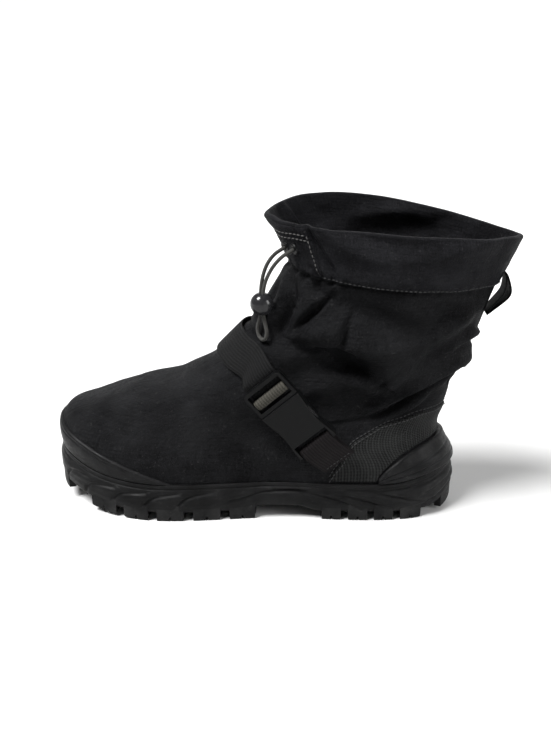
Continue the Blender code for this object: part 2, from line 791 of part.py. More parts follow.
def overlay(name, around, low, high, inner, thickness, material):
    """A shell on the upper between two edges, which are levels at each place around."""
    high = np.maximum(low, high)
    rows = clipped_levels(low, high)
    return thick_patch(name, around, rows, inner, inner + thickness, material, closed=True)


def counter_top(around):
    """Levels of the heel counter's upper edge."""
    rim = rim_levels(around, OVERLAY_GAP)
    t = np.clip(np.abs(from_back(around)) / COUNTER_REACH, 0, 1)
    height = RIM_HEIGHT + (COUNTER_HEIGHT - RIM_HEIGHT) * np.sqrt(1 - t**2)
    return np.where(t < 1, np.maximum(rim, level_at_height(around, height)), rim)


def make_heel_counter():
    """The rubber heel counter, which rests on the sole's rim."""
    low = rim_levels(FINE_AROUND, OVERLAY_GAP)
    high = counter_top(FINE_AROUND)
    return overlay("heel_counter", FINE_AROUND, low, high, CLEARANCE, COUNTER_THICKNESS, "cap_rubber")


def make_toe_cap():
    """The rubber toe bumper, highest at the toe's tip."""
    low = rim_levels(AROUND, OVERLAY_GAP)
    t = np.clip(np.abs(AROUND - TOE_CAP_CENTRE) / TOE_CAP_REACH, 0, 1)
    height = RIM_HEIGHT + (TOE_CAP_HEIGHT - RIM_HEIGHT) * np.cos(t * math.pi / 2)
    high = np.where(t < 1, np.maximum(low, level_at_height(AROUND, height)), low)
    return overlay("toe_cap", AROUND, low, high, CLEARANCE, TOE_CAP_THICKNESS, "cap_rubber")


def quarter_seam(around, side):
    """Levels of the quarter panel's upper seam on one side; at the rim or lower where there is no panel."""
    along = station(upper_base(around, np.full(around.shape, 0.15))[0][:, 0])
    up = np.interp(along, column(QUARTER_SEAM, "along"), column(QUARTER_SEAM, "up"))
    beside = side * from_back(around)
    present = (beside > BACK_SEAM) & (along < QUARTER_SEAM[-1][0])
    return np.where(present, level_at_height(around, up * BOOT_HEIGHT), 0.0)


def make_quarters():
    """The coated side panels, from the heel counter to the seam under the strap."""
    around = FINE_AROUND
    gap = OVERLAY_GAP / BOOT_HEIGHT
    for name, side in (("quarter_lateral", -1), ("quarter_medial", 1)):
        low = np.maximum(rim_levels(around, OVERLAY_GAP), counter_top(around) + 3 * gap)
        high = np.where(side * from_back(around) > 0, quarter_seam(around, side), 0.0)
        overlay(name, around, low, high, CLEARANCE, QUARTER_THICKNESS, "coated_mesh")


def make_cuff():
    """The doubled band round the collar, which the drawcord runs in."""
    low = np.full(AROUND.shape, CUFF_SEAM_LEVEL)
    return overlay("cuff", AROUND, low, np.ones(AROUND.shape), CLEARANCE, CUFF_THICKNESS, "shaft_fabric")


def make_placket():
    """The flap over the cuff's front, just beside its middle."""
    reach = PLACKET_WIDTH / SHAFT_GIRTH / 2
    low, high = PLACKET_CENTRE - reach, PLACKET_CENTRE + reach
    around = np.concatenate([[low], AROUND[(AROUND > low + 0.002) & (AROUND < high - 0.002)], [high]])
    rows = np.repeat(LEVELS[LEVELS > CUFF_SEAM_LEVEL - 0.001][:, None], len(around), axis=1)
    inner = 2 * CLEARANCE + CUFF_THICKNESS
    return thick_patch("placket", around, rows, inner, inner + PLACKET_THICKNESS, "shaft_fabric")


def place_on_side(along, up, side):
    """Around and level of the place on one side that lies at a share of the length and of the height."""
    around = np.linspace(0.02, 0.498, 240)
    around = around if side > 0 else 1 - around
    level = level_at_height(around, np.full(around.shape, up * BOOT_HEIGHT))
    shares = station(upper_base(around, level)[0][:, 0])
    order = np.argsort(shares)
    at = np.interp(along, shares[order], around[order])
    return at, float(level_at_height(np.array([at]), up * BOOT_HEIGHT)[0])


def surface_cloud():
    """Many points on what the straps and the buckle lie on."""
    around, level = np.meshgrid(np.linspace(0, 1, 321)[:-1], np.linspace(0, 1, 181))
    return upper_points(around.ravel(), level.ravel(), CLEARANCE + QUARTER_THICKNESS)


def rest_height(cloud, origin, axes, half_length, half_width):
    """How far the surface stands out over a flat footprint, along its normal. axes: along, across, normal."""
    local = (cloud - origin) @ np.array(axes).T
    near = np.abs(local[:, 2]) < BUCKLE_WIDTH
    inside = near & (np.abs(local[:, 0]) < half_length) & (np.abs(local[:, 1]) < half_width)
    return local[inside, 2].max()


def unit(v):
    return v / np.linalg.norm(v)


def ribbon(name, centres, sides, width, material, thickness):
    """A flat band along a 3-D line; sides are the unit directions across it."""
    centres = np.array(centres)
    sides = np.array(sides)
    steps = np.diff(centres, axis=0)
    steps = steps / np.linalg.norm(steps, axis=1, keepdims=True)
    forward = np.concatenate([steps[:1], steps[:-1] + steps[1:], steps[-1:]])
    out = np.cross(forward, sides)
    out = out / np.linalg.norm(out, axis=1, keepdims=True)
    across = sides * width / 2
    depth = out * thickness / 2
    rows = np.stack([centres - across - depth, centres + across - depth,
                     centres + across + depth, centres - across + depth], axis=1)
    points = rows.reshape(-1, 3)
    faces = [(3, 2, 1, 0)]
    for j in range(len(centres) - 1):
        for c in range(4):
            faces.append((4 * j + c, 4 * j + (c + 1) % 4, 4 * j + 4 + (c + 1) % 4, 4 * j + 4 + c))
    last = 4 * (len(centres) - 1)
    faces.append((last, last + 1, last + 2, last + 3))
    return add_mesh(name, points, faces, material)


def buckle_frame_axes(cloud):
    """Origin and axes of the fastened buckle: along the strap, across it and away from the boot."""
    low = upper_points(*place_on_side(*BUCKLE_LOW, -1))
    high = upper_points(*place_on_side(*BUCKLE_HIGH, -1))
    middle = place_on_side((BUCKLE_LOW[0] + BUCKLE_HIGH[0]) / 2, (BUCKLE_LOW[1] + BUCKLE_HIGH[1]) / 2, -1)
    along = unit(high - low)
    normal = normals_of(upper_folded, np.array(middle[0]), np.array(middle[1]))
    across = unit(np.cross(normal, along))
    normal = np.cross(along, across)
    axes = np.array([along, across, normal])
    length = BODY_LENGTH + FRAME_LENGTH
    centre = upper_points(*middle)
    lift = rest_height(cloud, centre, axes, length / 2, BUCKLE_WIDTH / 2)
    origin = centre - along * length / 2 + normal * (lift + STRAP_STANDOFF)
    return origin, axes


def to_world(local, origin, axes):
    return origin + np.asarray(local, float) @ np.array(axes)


def slab(plan, low, high):
    """A closed block over a plan polygon between two heights."""
    return prism(np.array(plan), lambda s: np.full(np.shape(s), low), lambda s: np.full(np.shape(s), high))


def box_plan(x_low, x_high, half):
    return [(x_low, -half), (x_high, -half), (x_high, half), (x_low, half)]


def place_object(thing, origin, axes):
    """Puts an object modelled at the origin into the buckle's place."""
    mesh = thing.data
    for vertex in mesh.vertices:
        vertex.co = to_world(vertex.co[:], origin, axes)
    mesh.update()


def finish_mesh(thing, material, angle=math.radians(35)):
    thing.data.materials.clear()
    thing.data.materials.append(bpy.data.materials.get(material) or make_material(material))
    thing.data.shade_smooth()
    thing.data.set_sharp_from_angle(angle=angle)


def make_buckle_body(origin, axes):
    """The buckle's female half: waisted shell, strap bar behind a slot, and a mouth for the prongs."""
    x = np.linspace(0, BODY_LENGTH, 9)
    half = BUCKLE_WIDTH / 2 - BUCKLE_WAIST * np.sin(np.pi * x / BODY_LENGTH) ** 2
    plan = [(a, -b) for a, b in zip(x, half)] + [(a, b) for a, b in zip(x[::-1], half[::-1])]
    body = joined("buckle_body", [slab(plan, 0.0, BUCKLE_THICKNESS)])
    slot_half = WEBBING_WIDTH / 2 + WEBBING_PLAY
    bar_low = (BUCKLE_THICKNESS - BAR_THICKNESS) / 2
    bar_high = bar_low + BAR_THICKNESS
    cuts = [
        slab(box_plan(BAR_WIDTH, BAR_WIDTH + SLOT_LENGTH, slot_half), -CUT_OVERLAP, BUCKLE_THICKNESS + CUT_OVERLAP),
        slab(box_plan(-CUT_OVERLAP, BAR_WIDTH + SLOT_LENGTH / 2, slot_half), -CUT_OVERLAP, bar_low),
        slab(box_plan(-CUT_OVERLAP, BAR_WIDTH + SLOT_LENGTH / 2, slot_half), bar_high, BUCKLE_THICKNESS + CUT_OVERLAP),
        slab(box_plan(BODY_LENGTH - MOUTH_DEPTH, BODY_LENGTH + CUT_OVERLAP, MOUTH_HALF),
             BUCKLE_SHELL, BUCKLE_THICKNESS - BUCKLE_SHELL),
    ]
    for cut in cuts:
        combine(body, joined("cut", [cut]), "DIFFERENCE")
    finish_mesh(body, "buckle_plastic")
    place_object(body, origin, axes)
    return body


def make_buckle_frame(origin, axes):
    """The buckle's male half: a ladder frame with a middle bar, a guide and two prongs."""
    start = BODY_LENGTH + CLEARANCE
    end = BODY_LENGTH + FRAME_LENGTH
    half = BUCKLE_WIDTH / 2
    low, high = FRAME_LOW, BUCKLE_THICKNESS - FRAME_LOW / 2
    plan = [(start, -half), (end - FRAME_CORNER, -half), (end, -half + FRAME_CORNER),
            (end, half - FRAME_CORNER),
            (end - FRAME_CORNER, half), (start, half)]
    frame = joined("buckle_frame", [slab(plan, low, high)])
    slot_half = WEBBING_WIDTH / 2 + WEBBING_PLAY
    bar_low = (BUCKLE_THICKNESS - BAR_THICKNESS) / 2
    bar_high = bar_low + BAR_THICKNESS
    first = start + RAIL_WIDTH
    second = first + FRAME_SLOT + BAR_WIDTH
    cuts = [
        slab(box_plan(first, first + FRAME_SLOT, slot_half), -CUT_OVERLAP, BUCKLE_THICKNESS + CUT_OVERLAP),
        slab(box_plan(second, end - RAIL_WIDTH, slot_half), -CUT_OVERLAP, BUCKLE_THICKNESS + CUT_OVERLAP),
        slab(box_plan(first + CUT_OVERLAP, second + CUT_OVERLAP, slot_half), -CUT_OVERLAP, bar_low),
        slab(box_plan(first + CUT_OVERLAP, second + CUT_OVERLAP, slot_half), bar_high, BUCKLE_THICKNESS + CUT_OVERLAP),
    ]
    for cut in cuts:
        combine(frame, joined("cut", [cut]), "DIFFERENCE")
    prong_low = BUCKLE_SHELL + CLEARANCE
    prong_high = BUCKLE_THICKNESS - BUCKLE_SHELL - CLEARANCE
    reach = start - (MOUTH_DEPTH - PRONG_PLAY)
    outer = MOUTH_HALF - CLEARANCE
    tongue = [
        (start + CUT_OVERLAP, -outer), (start + CUT_OVERLAP, outer), (reach, outer), (reach, outer - PRONG_WIDTH),
        (start - PRONG_WIDTH, outer - PRONG_WIDTH), (start - PRONG_WIDTH, PRONG_WIDTH / 2),
        (reach + PRONG_WIDTH, PRONG_WIDTH / 2), (reach + PRONG_WIDTH, -PRONG_WIDTH / 2),
        (start - PRONG_WIDTH, -PRONG_WIDTH / 2), (start - PRONG_WIDTH, -outer + PRONG_WIDTH),
        (reach, -outer + PRONG_WIDTH), (reach, -outer),
    ]
    combine(frame, joined("tongue", [slab(tongue, prong_low, prong_high)]), "UNION")
    finish_mesh(frame, "buckle_plastic")
    place_object(frame, origin, axes)
    return frame


def bar_wrap(bar_start, side):
    """Places in the buckle's own along-and-out plane that take the webbing round a bar, from below to above.
    side is 1 round the bar's far edge and -1 round its near edge."""
    layer = CLEARANCE + WEBBING_THICKNESS / 2
    low = (BUCKLE_THICKNESS - BAR_THICKNESS) / 2 - layer
    high = (BUCKLE_THICKNESS + BAR_THICKNESS) / 2 + layer
    edge = bar_start + BAR_WIDTH + layer if side > 0 else bar_start - layer
    turn = layer / 2
    return [
        (edge - side * turn, low),
        (edge, low + turn),
        (edge, high - turn),
        (edge - side * turn, high),
    ]


def make_strap_lateral(cloud, origin, axes):
    """Webbing sewn into the lateral seam, doubled round the buckle's bar."""
    along, across, normal = axes
    foot = -STRAP_TAIL
    lift = rest_height(cloud, origin + foot * along, axes, STRAP_STEP / 2, WEBBING_WIDTH / 2)
    layer = WEBBING_THICKNESS / 2
    first = lift + CLEARANCE + layer
    second = first + WEBBING_THICKNESS + CLEARANCE
    wrap = bar_wrap(0.0, 1)
    near = -WEBBING_THICKNESS
    path = [(foot, 0.0, first), (near, 0.0, wrap[0][1])]
    path += [(x, 0.0, z) for x, z in wrap]
    path += [(near, 0.0, wrap[-1][1]), (foot, 0.0, second)]
    return ribbon("strap_lateral", to_world(path, origin, axes), [across] * len(path),
                  WEBBING_WIDTH, "webbing", WEBBING_THICKNESS)


def make_strap_front(cloud, origin, axes):
    """Webbing from the buckle's frame over the instep, sewn into the medial seam."""
    along, across, normal = axes
    first_bar = BODY_LENGTH + CLEARANCE + RAIL_WIDTH + FRAME_SLOT
    end = BODY_LENGTH + FRAME_LENGTH
    up = bar_wrap(first_bar, 1)
    down = bar_wrap(first_bar, -1)[::-1]
    below = FRAME_LOW - CLEARANCE - WEBBING_THICKNESS / 2
    start = [(first_bar + BAR_WIDTH - CUT_OVERLAP, down[-1][1])] + down[::-1] + up[::-1][:3]
    start += [(end - RAIL_WIDTH / 2, below), (end + STRAP_LEAD, below)]
    centres = [to_world((x, 0.0, z), origin, axes) for x, z in start]
    sides = [across] * len(start)
    places = [place_on_side(a, u, s) if s else (FRONT, float(level_at_height(np.array([FRONT]), u * BOOT_HEIGHT)[0]))
              for s, a, u in STRAP_ROUTE[1:]]
    knots = np.arange(len(places), dtype=float)
    at = np.linspace(0, knots[-1], 15)
    around = smooth_lookup(knots, np.array([p[0] for p in places]), at)
    level = smooth_lookup(knots, np.array([p[1] for p in places]), at)
    surface = upper_points(around, level)
    normals = normals_of(upper_folded, around, level)
    forward = np.gradient(surface, axis=0)
    for place, out, run in zip(surface, normals, forward):
        run = unit(run)
        side = unit(np.cross(out, run))
        out = np.cross(run, side)
        lift = rest_height(cloud, place, np.array([run, side, out]), STRAP_STEP / 2, WEBBING_WIDTH / 2)
        centres.append(place + out * (lift + STRAP_STANDOFF + WEBBING_THICKNESS / 2))
        sides.append(side)
    return ribbon("strap_front", centres, sides, WEBBING_WIDTH, "webbing", WEBBING_THICKNESS)


def make_pull_loop():
    """The webbing loop at the shaft's back, under the cuff."""
    at = np.linspace(0, 1, 9)
    level = LOOP_LEVELS[0] + (LOOP_LEVELS[1] - LOOP_LEVELS[0]) * at
    seat = CUFF_THICKNESS + 2 * CLEARANCE + WEBBING_THICKNESS / 2
    out = seat + LOOP_BULGE * np.sin(np.pi * at) ** 1.2
    centres = [upper_points(0.0, v, o) for v, o in zip(level, out)]
    sides = [ACROSS] * len(centres)
    return ribbon("pull_loop", centres, sides, LOOP_WIDTH, "webbing", WEBBING_THICKNESS)


def cord_frame():
    """Where the drawcord leaves the placket: origin, and axes out, aside and ahead."""
    around = np.array(EYELET_AROUND)
    level = np.array(EYELET_LEVEL)
    out = normals_of(upper_folded, around, level)
    seat = 3 * CLEARANCE + CUFF_THICKNESS + PLACKET_THICKNESS
    origin = upper_points(around, level, seat)
    aside = unit(np.cross(UP, out))
    flat = np.cross(aside, UP)
    ahead = flat * math.cos(CORD_TURN) + np.cross(UP, flat) * math.sin(CORD_TURN)
    return origin, out, aside, ahead


def make_eyelets():
    """Two short rings on the placket, which the drawcord comes out of."""
    origin, out, aside, ahead = cord_frame()
    up = np.cross(out, aside)
    turns = np.linspace(0, 2 * np.pi, 16, endpoint=False)
    for name, side in (("eyelet_a", -1), ("eyelet_b", 1)):
        centre = origin + aside * side * EYELET_SPACING / 2
        sink = rest_height_of_placket(centre, np.array([aside, up, out]))
        centre = centre + out * sink
        rings = []
        for radius, height in ((EYELET_BORE / 2, 0.0), (EYELET_OUTER / 2, 0.0),
                               (EYELET_OUTER / 2 - EYELET_EDGE, EYELET_THICKNESS), (EYELET_BORE / 2, EYELET_THICKNESS)):
            circle = np.cos(turns)[:, None] * aside + np.sin(turns)[:, None] * up
            rings.append(centre + circle * radius + out * height)
        count = len(turns)
        faces = []
        for i in range(4):
            for j in range(count):
                k = (j + 1) % count
                n = (i + 1) % 4
                faces.append((i * count + j, i * count + k, n * count + k, n * count + j))
        add_mesh(name, np.concatenate(rings), faces, "buckle_plastic")


def rest_height_of_placket(centre, axes):
    """How far the placket's surface stands out under an eyelet, plus the clearance."""
    reach = PLACKET_WIDTH / SHAFT_GIRTH
    around = np.linspace(PLACKET_CENTRE - reach, PLACKET_CENTRE + reach, 90)
    level = np.linspace(CUFF_SEAM_LEVEL, 1.0, 60)
    a, v = np.meshgrid(around, level)
    seat = 2 * CLEARANCE + CUFF_THICKNESS + PLACKET_THICKNESS
    local = (faceted_points(a.ravel(), v.ravel(), seat) - centre) @ axes.T
    inside = np.hypot(local[:, 0], local[:, 1]) < EYELET_OUTER / 2 + CLEARANCE
    near = np.abs(local[:, 2]) < EYELET_OUTER
    return local[inside & near, 2].max() + CLEARANCE


def make_drawcord():
    """The elastic cord: out of one eyelet, down through the lock, round a loop and back to the other eyelet."""
    origin, out, aside, ahead = cord_frame()
    places = np.array(CORD_ROUTE[1:])
    half = places @ np.array([out, ahead, aside, UP])
    other = places @ np.array([out, ahead, -aside, UP])
    route = origin + np.concatenate([half, other[::-1][1:]])
    run = np.concatenate([[0], np.cumsum(np.linalg.norm(np.diff(route, axis=0), axis=1))])
    at = np.linspace(0, run[-1], int(run[-1] / (2.2 * CORD_DIAMETER)))
    smooth = np.column_stack([smooth_lookup(run, route[:, c], at) for c in range(3)])
    curve = bpy.data.curves.new("drawcord", "CURVE")
    curve.dimensions = "3D"
    curve.bevel_depth = CORD_DIAMETER / 2
    curve.bevel_resolution = 2
    curve.use_fill_caps = True
    spline = curve.splines.new("POLY")
    spline.points.add(len(smooth) - 1)
    for point, place in zip(spline.points, smooth):
        point.co = (*place, 1)
    cord = bpy.data.objects.new("drawcord", curve)
    bpy.context.scene.collection.objects.link(cord)
    curve.materials.append(make_material("drawcord"))


def make_cord_lock():
    """The ball cord lock, with an oval bore for the cord's two strands."""
    origin, out, aside, ahead = cord_frame()
    centre = origin + np.array(LOCK_PLACE) @ np.array([out, ahead, UP])
    ball = bmesh.new()
    bmesh.ops.create_uvsphere(ball, u_segments=20, v_segments=11, radius=LOCK_DIAMETER / 2)
    mesh = bpy.data.meshes.new("cord_lock")
    ball.to_mesh(mesh)
    ball.free()
    lock = bpy.data.objects.new("cord_lock", mesh)
    bpy.context.scene.collection.objects.link(lock)
    bore = CORD_DIAMETER / 2 + CLEARANCE
    turns = np.linspace(-np.pi / 2, np.pi / 2, 7)
    plan = [(np.cos(t) * bore + STRAND_SPACING / 2, np.sin(t) * bore) for t in turns]
    plan += [(-np.cos(t) * bore - STRAND_SPACING / 2, -np.sin(t) * bore) for t in turns]
    combine(lock, joined("bore", [slab(plan, -LOCK_DIAMETER, LOCK_DIAMETER)]), "DIFFERENCE")
    finish_mesh(lock, "buckle_plastic", math.radians(50))
    lock.data.update()
    place_object(lock, centre, np.array([aside, np.cross(UP, aside), UP]))


def main():
    for thing in list(bpy.data.objects):
        bpy.data.objects.remove(thing)
    make_outsole()
    make_upper()
    make_insole()
    make_cuff()
    make_toe_cap()
    make_heel_counter()
    make_quarters()
    make_placket()
    cloud = surface_cloud()
    origin, axes = buckle_frame_axes(cloud)
    make_buckle_body(origin, axes)
    make_buckle_frame(origin, axes)
    make_strap_lateral(cloud, origin, axes)
    make_strap_front(cloud, origin, axes)
    make_pull_loop()
    make_eyelets()
    make_drawcord()
    make_cord_lock()


main()
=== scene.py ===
"""Looks of the left winter overshoe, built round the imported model.

The surface functions repeat the part's own sizes, in metres: toe along -X, medial side along +Y, +Z up."""

import math

import bpy
import numpy as np
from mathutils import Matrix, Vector


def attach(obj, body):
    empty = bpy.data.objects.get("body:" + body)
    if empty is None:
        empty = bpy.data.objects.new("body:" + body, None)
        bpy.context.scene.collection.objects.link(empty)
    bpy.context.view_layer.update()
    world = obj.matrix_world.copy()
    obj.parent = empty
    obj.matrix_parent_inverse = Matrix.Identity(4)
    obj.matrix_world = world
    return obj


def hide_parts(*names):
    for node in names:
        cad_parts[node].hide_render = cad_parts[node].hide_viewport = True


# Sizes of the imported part
SOLE_LENGTH = 0.322
BALL_WIDTH = 0.118
HEEL_BACK = 0.046
FLOOR_HEIGHT = 0.0172
LUG_DEPTH = 0.0062
RIM_HEIGHT = 0.0300
RIM_HEEL_RISE = 0.0090
RIM_TOE_RISE = 0.0030
TOE_SPRING = 0.0130
HEEL_BEVEL = 0.0060
ARCH_RISE = 0.0040
LUG_REACH = 0.0072
LUG_SET_IN = 0.0006
RIB_SET_UP = 0.0010
STRAND_SPACING = 0.0032
WALL_SWELL = 0.0010
RIB_WIDTH = 0.0050
BOOT_HEIGHT = 0.2450
UPPER_WALL = 0.0018
CUFF_THICKNESS = 0.0016
CUFF_SEAM_LEVEL = 0.815
FOLD_WIDTH = 0.0140
FOLD_HEIGHT = 0.0040
QUARTER_THICKNESS = 0.0010
COUNTER_THICKNESS = 0.0026
COUNTER_HEIGHT = 0.0620
TOE_CAP_THICKNESS = 0.0024
TOE_CAP_HEIGHT = 0.0660
PLACKET_THICKNESS = 0.0012
PLACKET_WIDTH = 0.0340
WEBBING_WIDTH = 0.0290
WEBBING_THICKNESS = 0.0015
STRAP_STANDOFF = 0.0009
BUCKLE_WIDTH = 0.0350
BUCKLE_THICKNESS = 0.0088
BUCKLE_WAIST = 0.0024
BODY_LENGTH = 0.0430
FRAME_LENGTH = 0.0220
BAR_THICKNESS = 0.0030
BAR_WIDTH = 0.0040
STRAP_TAIL = 0.0230
RAIL_WIDTH = 0.0030
FRAME_SLOT = 0.0045
FRAME_LOW = 0.0024
LOOP_WIDTH = 0.0200
LOOP_BULGE = 0.0085
CORD_DIAMETER = 0.0028
LOCK_DIAMETER = 0.0175
CLEARANCE = 0.0003
OVERLAY_GAP = 0.0007
SHAFT_GIRTH = 0.470
HALF_BALL = BALL_WIDTH / 2

# Places as shares of the way round, of the sole's length and of the boot's height
COUNTER_REACH = 0.108
TOE_CAP_REACH = 0.185
TOE_CAP_CENTRE = 0.497
BACK_SEAM = 0.006
PLACKET_CENTRE = 0.574
EYELET_AROUND = 0.560
EYELET_LEVEL = 0.920
LOOP_LEVELS = (0.865, 0.728)
BUCKLE_LOW = (0.326, 0.275)
BUCKLE_HIGH = (0.470, 0.485)
LOCK_PLACE = (0.0050, 0.0165, -0.0390)
CORD_TURN = math.radians(-35)
UP = np.array([0.0, 0.0, 1.0])
ACROSS = np.array([0.0, 1.0, 0.0])

# Plan outline of the sole: share of the length from the back, then half widths as shares of half the ball
# width
FOOT_OUTLINE = (
    ("along", "medial", "lateral"),
    (0.000, 0.02, -0.02),
    (0.012, 0.24, 0.25),
    (0.045, 0.46, 0.48),
    (0.100, 0.64, 0.66),
    (0.170, 0.72, 0.745),
    (0.260, 0.715, 0.775),
    (0.360, 0.645, 0.77),
    (0.460, 0.635, 0.79),
    (0.560, 0.755, 0.875),
    (0.650, 0.905, 0.950),
    (0.730, 0.99, 0.970),
    (0.800, 1.00, 0.910),
    (0.870, 0.945, 0.775),
    (0.930, 0.82, 0.570),
    (0.970, 0.665, 0.345),
    (0.993, 0.47, 0.060),
    (1.000, 0.27, -0.27),
)

# Plan outline of the shaft: share of its length from the back, half widths as shares of its own half width
SHAFT_OUTLINE = (
    ("along", "medial", "lateral"),
    (0.000, 0.00, 0.00),
    (0.020, 0.16, 0.16),
    (0.090, 0.40, 0.42),
    (0.220, 0.68, 0.72),
    (0.400, 0.90, 0.94),
    (0.600, 1.00, 1.00),
    (0.780, 0.95, 0.93),
    (0.910, 0.74, 0.72),
    (0.980, 0.38, 0.38),
    (1.000, 0.00, 0.00),
)

# The upper's rings, from the feather edge to the collar. back and front are shares of the sole's length
# forward of its back. back_up and front_up are shares of the height from the sole's floor to BOOT_HEIGHT.
# lateral and medial are shares of half the ball width. shaft goes from the foot's outline (0) to the shaft's
# outline (1).
UPPER_RINGS = (
    ("back", "back_up", "front", "front_up", "lateral", "medial", "shaft", "lateral_up", "medial_up"),
    (0.0180, 0.000, 0.9810, 0.000, 0.890, 0.885, 0.00, 0.0, 0.0),
    (0.0100, 0.059, 0.9860, 0.060, 0.935, 0.920, 0.00, 0.0, 0.0),
    (0.0090, 0.121, 0.9920, 0.135, 0.975, 0.955, 0.00, 0.0, 0.0),
    (0.0370, 0.182, 0.9690, 0.210, 0.950, 0.930, 0.04, 0.0, 0.0),
    (0.0450, 0.231, 0.8980, 0.278, 0.900, 0.875, 0.18, 0.0, 0.0),
    (0.0340, 0.279, 0.7950, 0.334, 0.860, 0.830, 0.38, 0.0, 0.0),
    (0.0220, 0.327, 0.6890, 0.388, 0.820, 0.790, 0.60, 0.0, 0.0),
    (0.0093, 0.380, 0.5990, 0.448, 0.790, 0.760, 0.80, 0.0, 0.0),
    (-0.0124, 0.455, 0.5280, 0.540, 0.780, 0.760, 0.94, 0.0, 0.0),
    (-0.0388, 0.565, 0.4660, 0.660, 0.800, 0.780, 1.00, 0.0, 0.0),
    (-0.0637, 0.675, 0.4250, 0.760, 0.810, 0.800, 1.00, 0.0, 0.0),
    (-0.0807, 0.741, 0.4100, 0.815, 0.810, 0.810, 1.00, -0.03, 0.0),
    (-0.1025, 0.807, 0.4320, 0.873, 0.825, 0.825, 1.00, -0.015, 0.025),
    (-0.1227, 0.873, 0.4630, 0.940, 0.830, 0.830, 1.00, -0.005, 0.055),
)

# Large folds of the slack shaft: side (1 medial, -1 lateral), then two ends of the crest as shares of the
# sole's length forward of its back and of the boot's height, the width and the height of the fold in metres
SHAFT_FOLDS = (
    ("side", "from_along", "from_up", "to_along", "to_up", "width", "height"),
    (-1, 0.02, 0.52, 0.34, 0.37, 0.93, 1.00),
    (-1, 0.25, 0.60, 0.44, 0.49, 1.00, 0.75),
    (1, 0.04, 0.50, 0.36, 0.40, 1.00, 0.95),
)

# The quarter panel's upper seam: share of the length forward of the back, share of the boot's height
QUARTER_SEAM = (
    ("along", "up"),
    (0.000, 0.350),
    (0.080, 0.345),
    (0.174, 0.318),
    (0.233, 0.265),
    (0.295, 0.171),
    (0.320, 0.105),
)

# The front strap's way over the instep: side (0 at the front), share of the length, share of the height
STRAP_ROUTE = (
    ("side", "along", "up"),
    (-1, 0.484, 0.515),
    (0, 0.470, 0.545),
    (1, 0.478, 0.495),
    (1, 0.405, 0.385),
    (1, 0.330, 0.280),
    (1, 0.270, 0.225),
)

# The drawcord from one eyelet to the foot of its loop, from the middle between the eyelets: out along the
# eyelets' axis, ahead of the boot, aside and up
CORD_ROUTE = (
    ("out", "ahead", "aside", "up"),
    (0.0004, 0.0000, 0.0052, 0.0000),
    (0.0032, 0.0000, 0.0052, 0.0000),
    (0.0050, 0.0044, 0.0049, -0.0030),
    (0.0050, 0.0096, 0.0042, -0.0090),
    (0.0050, 0.0136, 0.0030, -0.0170),
    (0.0050, 0.0158, 0.0019, -0.0250),
    (0.0050, 0.0165, 0.0016, -0.0310),
    (0.0050, 0.0165, 0.0016, -0.0390),
    (0.0050, 0.0165, 0.0017, -0.0480),
    (0.0050, 0.0165, 0.0038, -0.0528),
    (0.0050, 0.0165, 0.0060, -0.0590),
    (0.0050, 0.0165, 0.0042, -0.0645),
    (0.0050, 0.0165, 0.0000, -0.0664),
)


# Centre line of the long rib, from the toe past the waist and round the heel's back. across is a share of
# half the ball width, positive on the medial side.
RIB_LINE = (
    ("along", "across"),
    (0.915, -0.03),
    (0.890, 0.05),
    (0.811, 0.18),
    (0.694, 0.27),
    (0.579, 0.14),
    (0.500, 0.02),
    (0.405, -0.18),
    (0.320, -0.38),
    (0.241, -0.46),
    (0.160, -0.41),
    (0.100, -0.24),
    (0.080, 0.00),
    (0.100, 0.24),
    (0.150, 0.38),
)

# Edge blocks of the tread: side, centre along, length along, inner end (a share of half the ball width)
EDGE_BLOCKS = (
    ("side", "along", "length", "inner"),
    (1, 0.500, 0.068, 0.18),
    (1, 0.595, 0.074, 0.29),
    (1, 0.695, 0.076, 0.38),
    (1, 0.795, 0.074, 0.31),
    (1, 0.887, 0.062, 0.21),
    (-1, 0.515, 0.060, -0.57),
    (-1, 0.600, 0.064, -0.66),
    (-1, 0.688, 0.064, -0.68),
    (-1, 0.772, 0.060, -0.60),
    (-1, 0.856, 0.066, -0.46),
    (1, 0.262, 0.046, 0.47),
    (1, 0.202, 0.046, 0.48),
    (1, 0.142, 0.046, 0.51),
    (1, 0.088, 0.036, 0.44),
    (-1, 0.300, 0.046, -0.60),
    (-1, 0.236, 0.046, -0.62),
    (-1, 0.174, 0.046, -0.60),
    (-1, 0.108, 0.050, -0.45),
)

# Chevron blocks inside the rib: apex along and across, medial and lateral ends across, then how far each
# arm's outer end lies back of the apex (a negative value points the chevron at the heel)
CHEVRONS = (
    ("along", "apex", "medial", "lateral", "sweep"),
    (0.570, -0.22, 0.01, -0.50, 0.030),
    (0.640, -0.23, 0.10, -0.58, 0.034),
    (0.710, -0.21, 0.15, -0.60, 0.034),
    (0.780, -0.17, 0.10, -0.53, 0.032),
    (0.262, 0.06, 0.38, -0.34, -0.022),
    (0.206, 0.08, 0.38, -0.36, -0.022),
    (0.150, 0.09, 0.29, -0.30, -0.020),
)
CHEVRON_LENGTH = 0.050
CHEVRON_REACH = 0.30
CHEVRON_HALF_GAP = 0.022

# Where the toe's and the heel's pads start and end around the outline
PAD_ENDS = ((0.449, 0.566), (-0.043, 0.045))

# The sole's side wall: share of the way from the plate's edge to the rim, and how many WALL_SWELL it
# stands out
SIDE_PROFILE = (
    ("up", "out"),
    (0.00, -3.0),
    (0.10, -0.8),
    (0.30, 0.4),
    (0.62, 0.6),
    (0.80, -0.8),
    (1.00, -1.4),
)


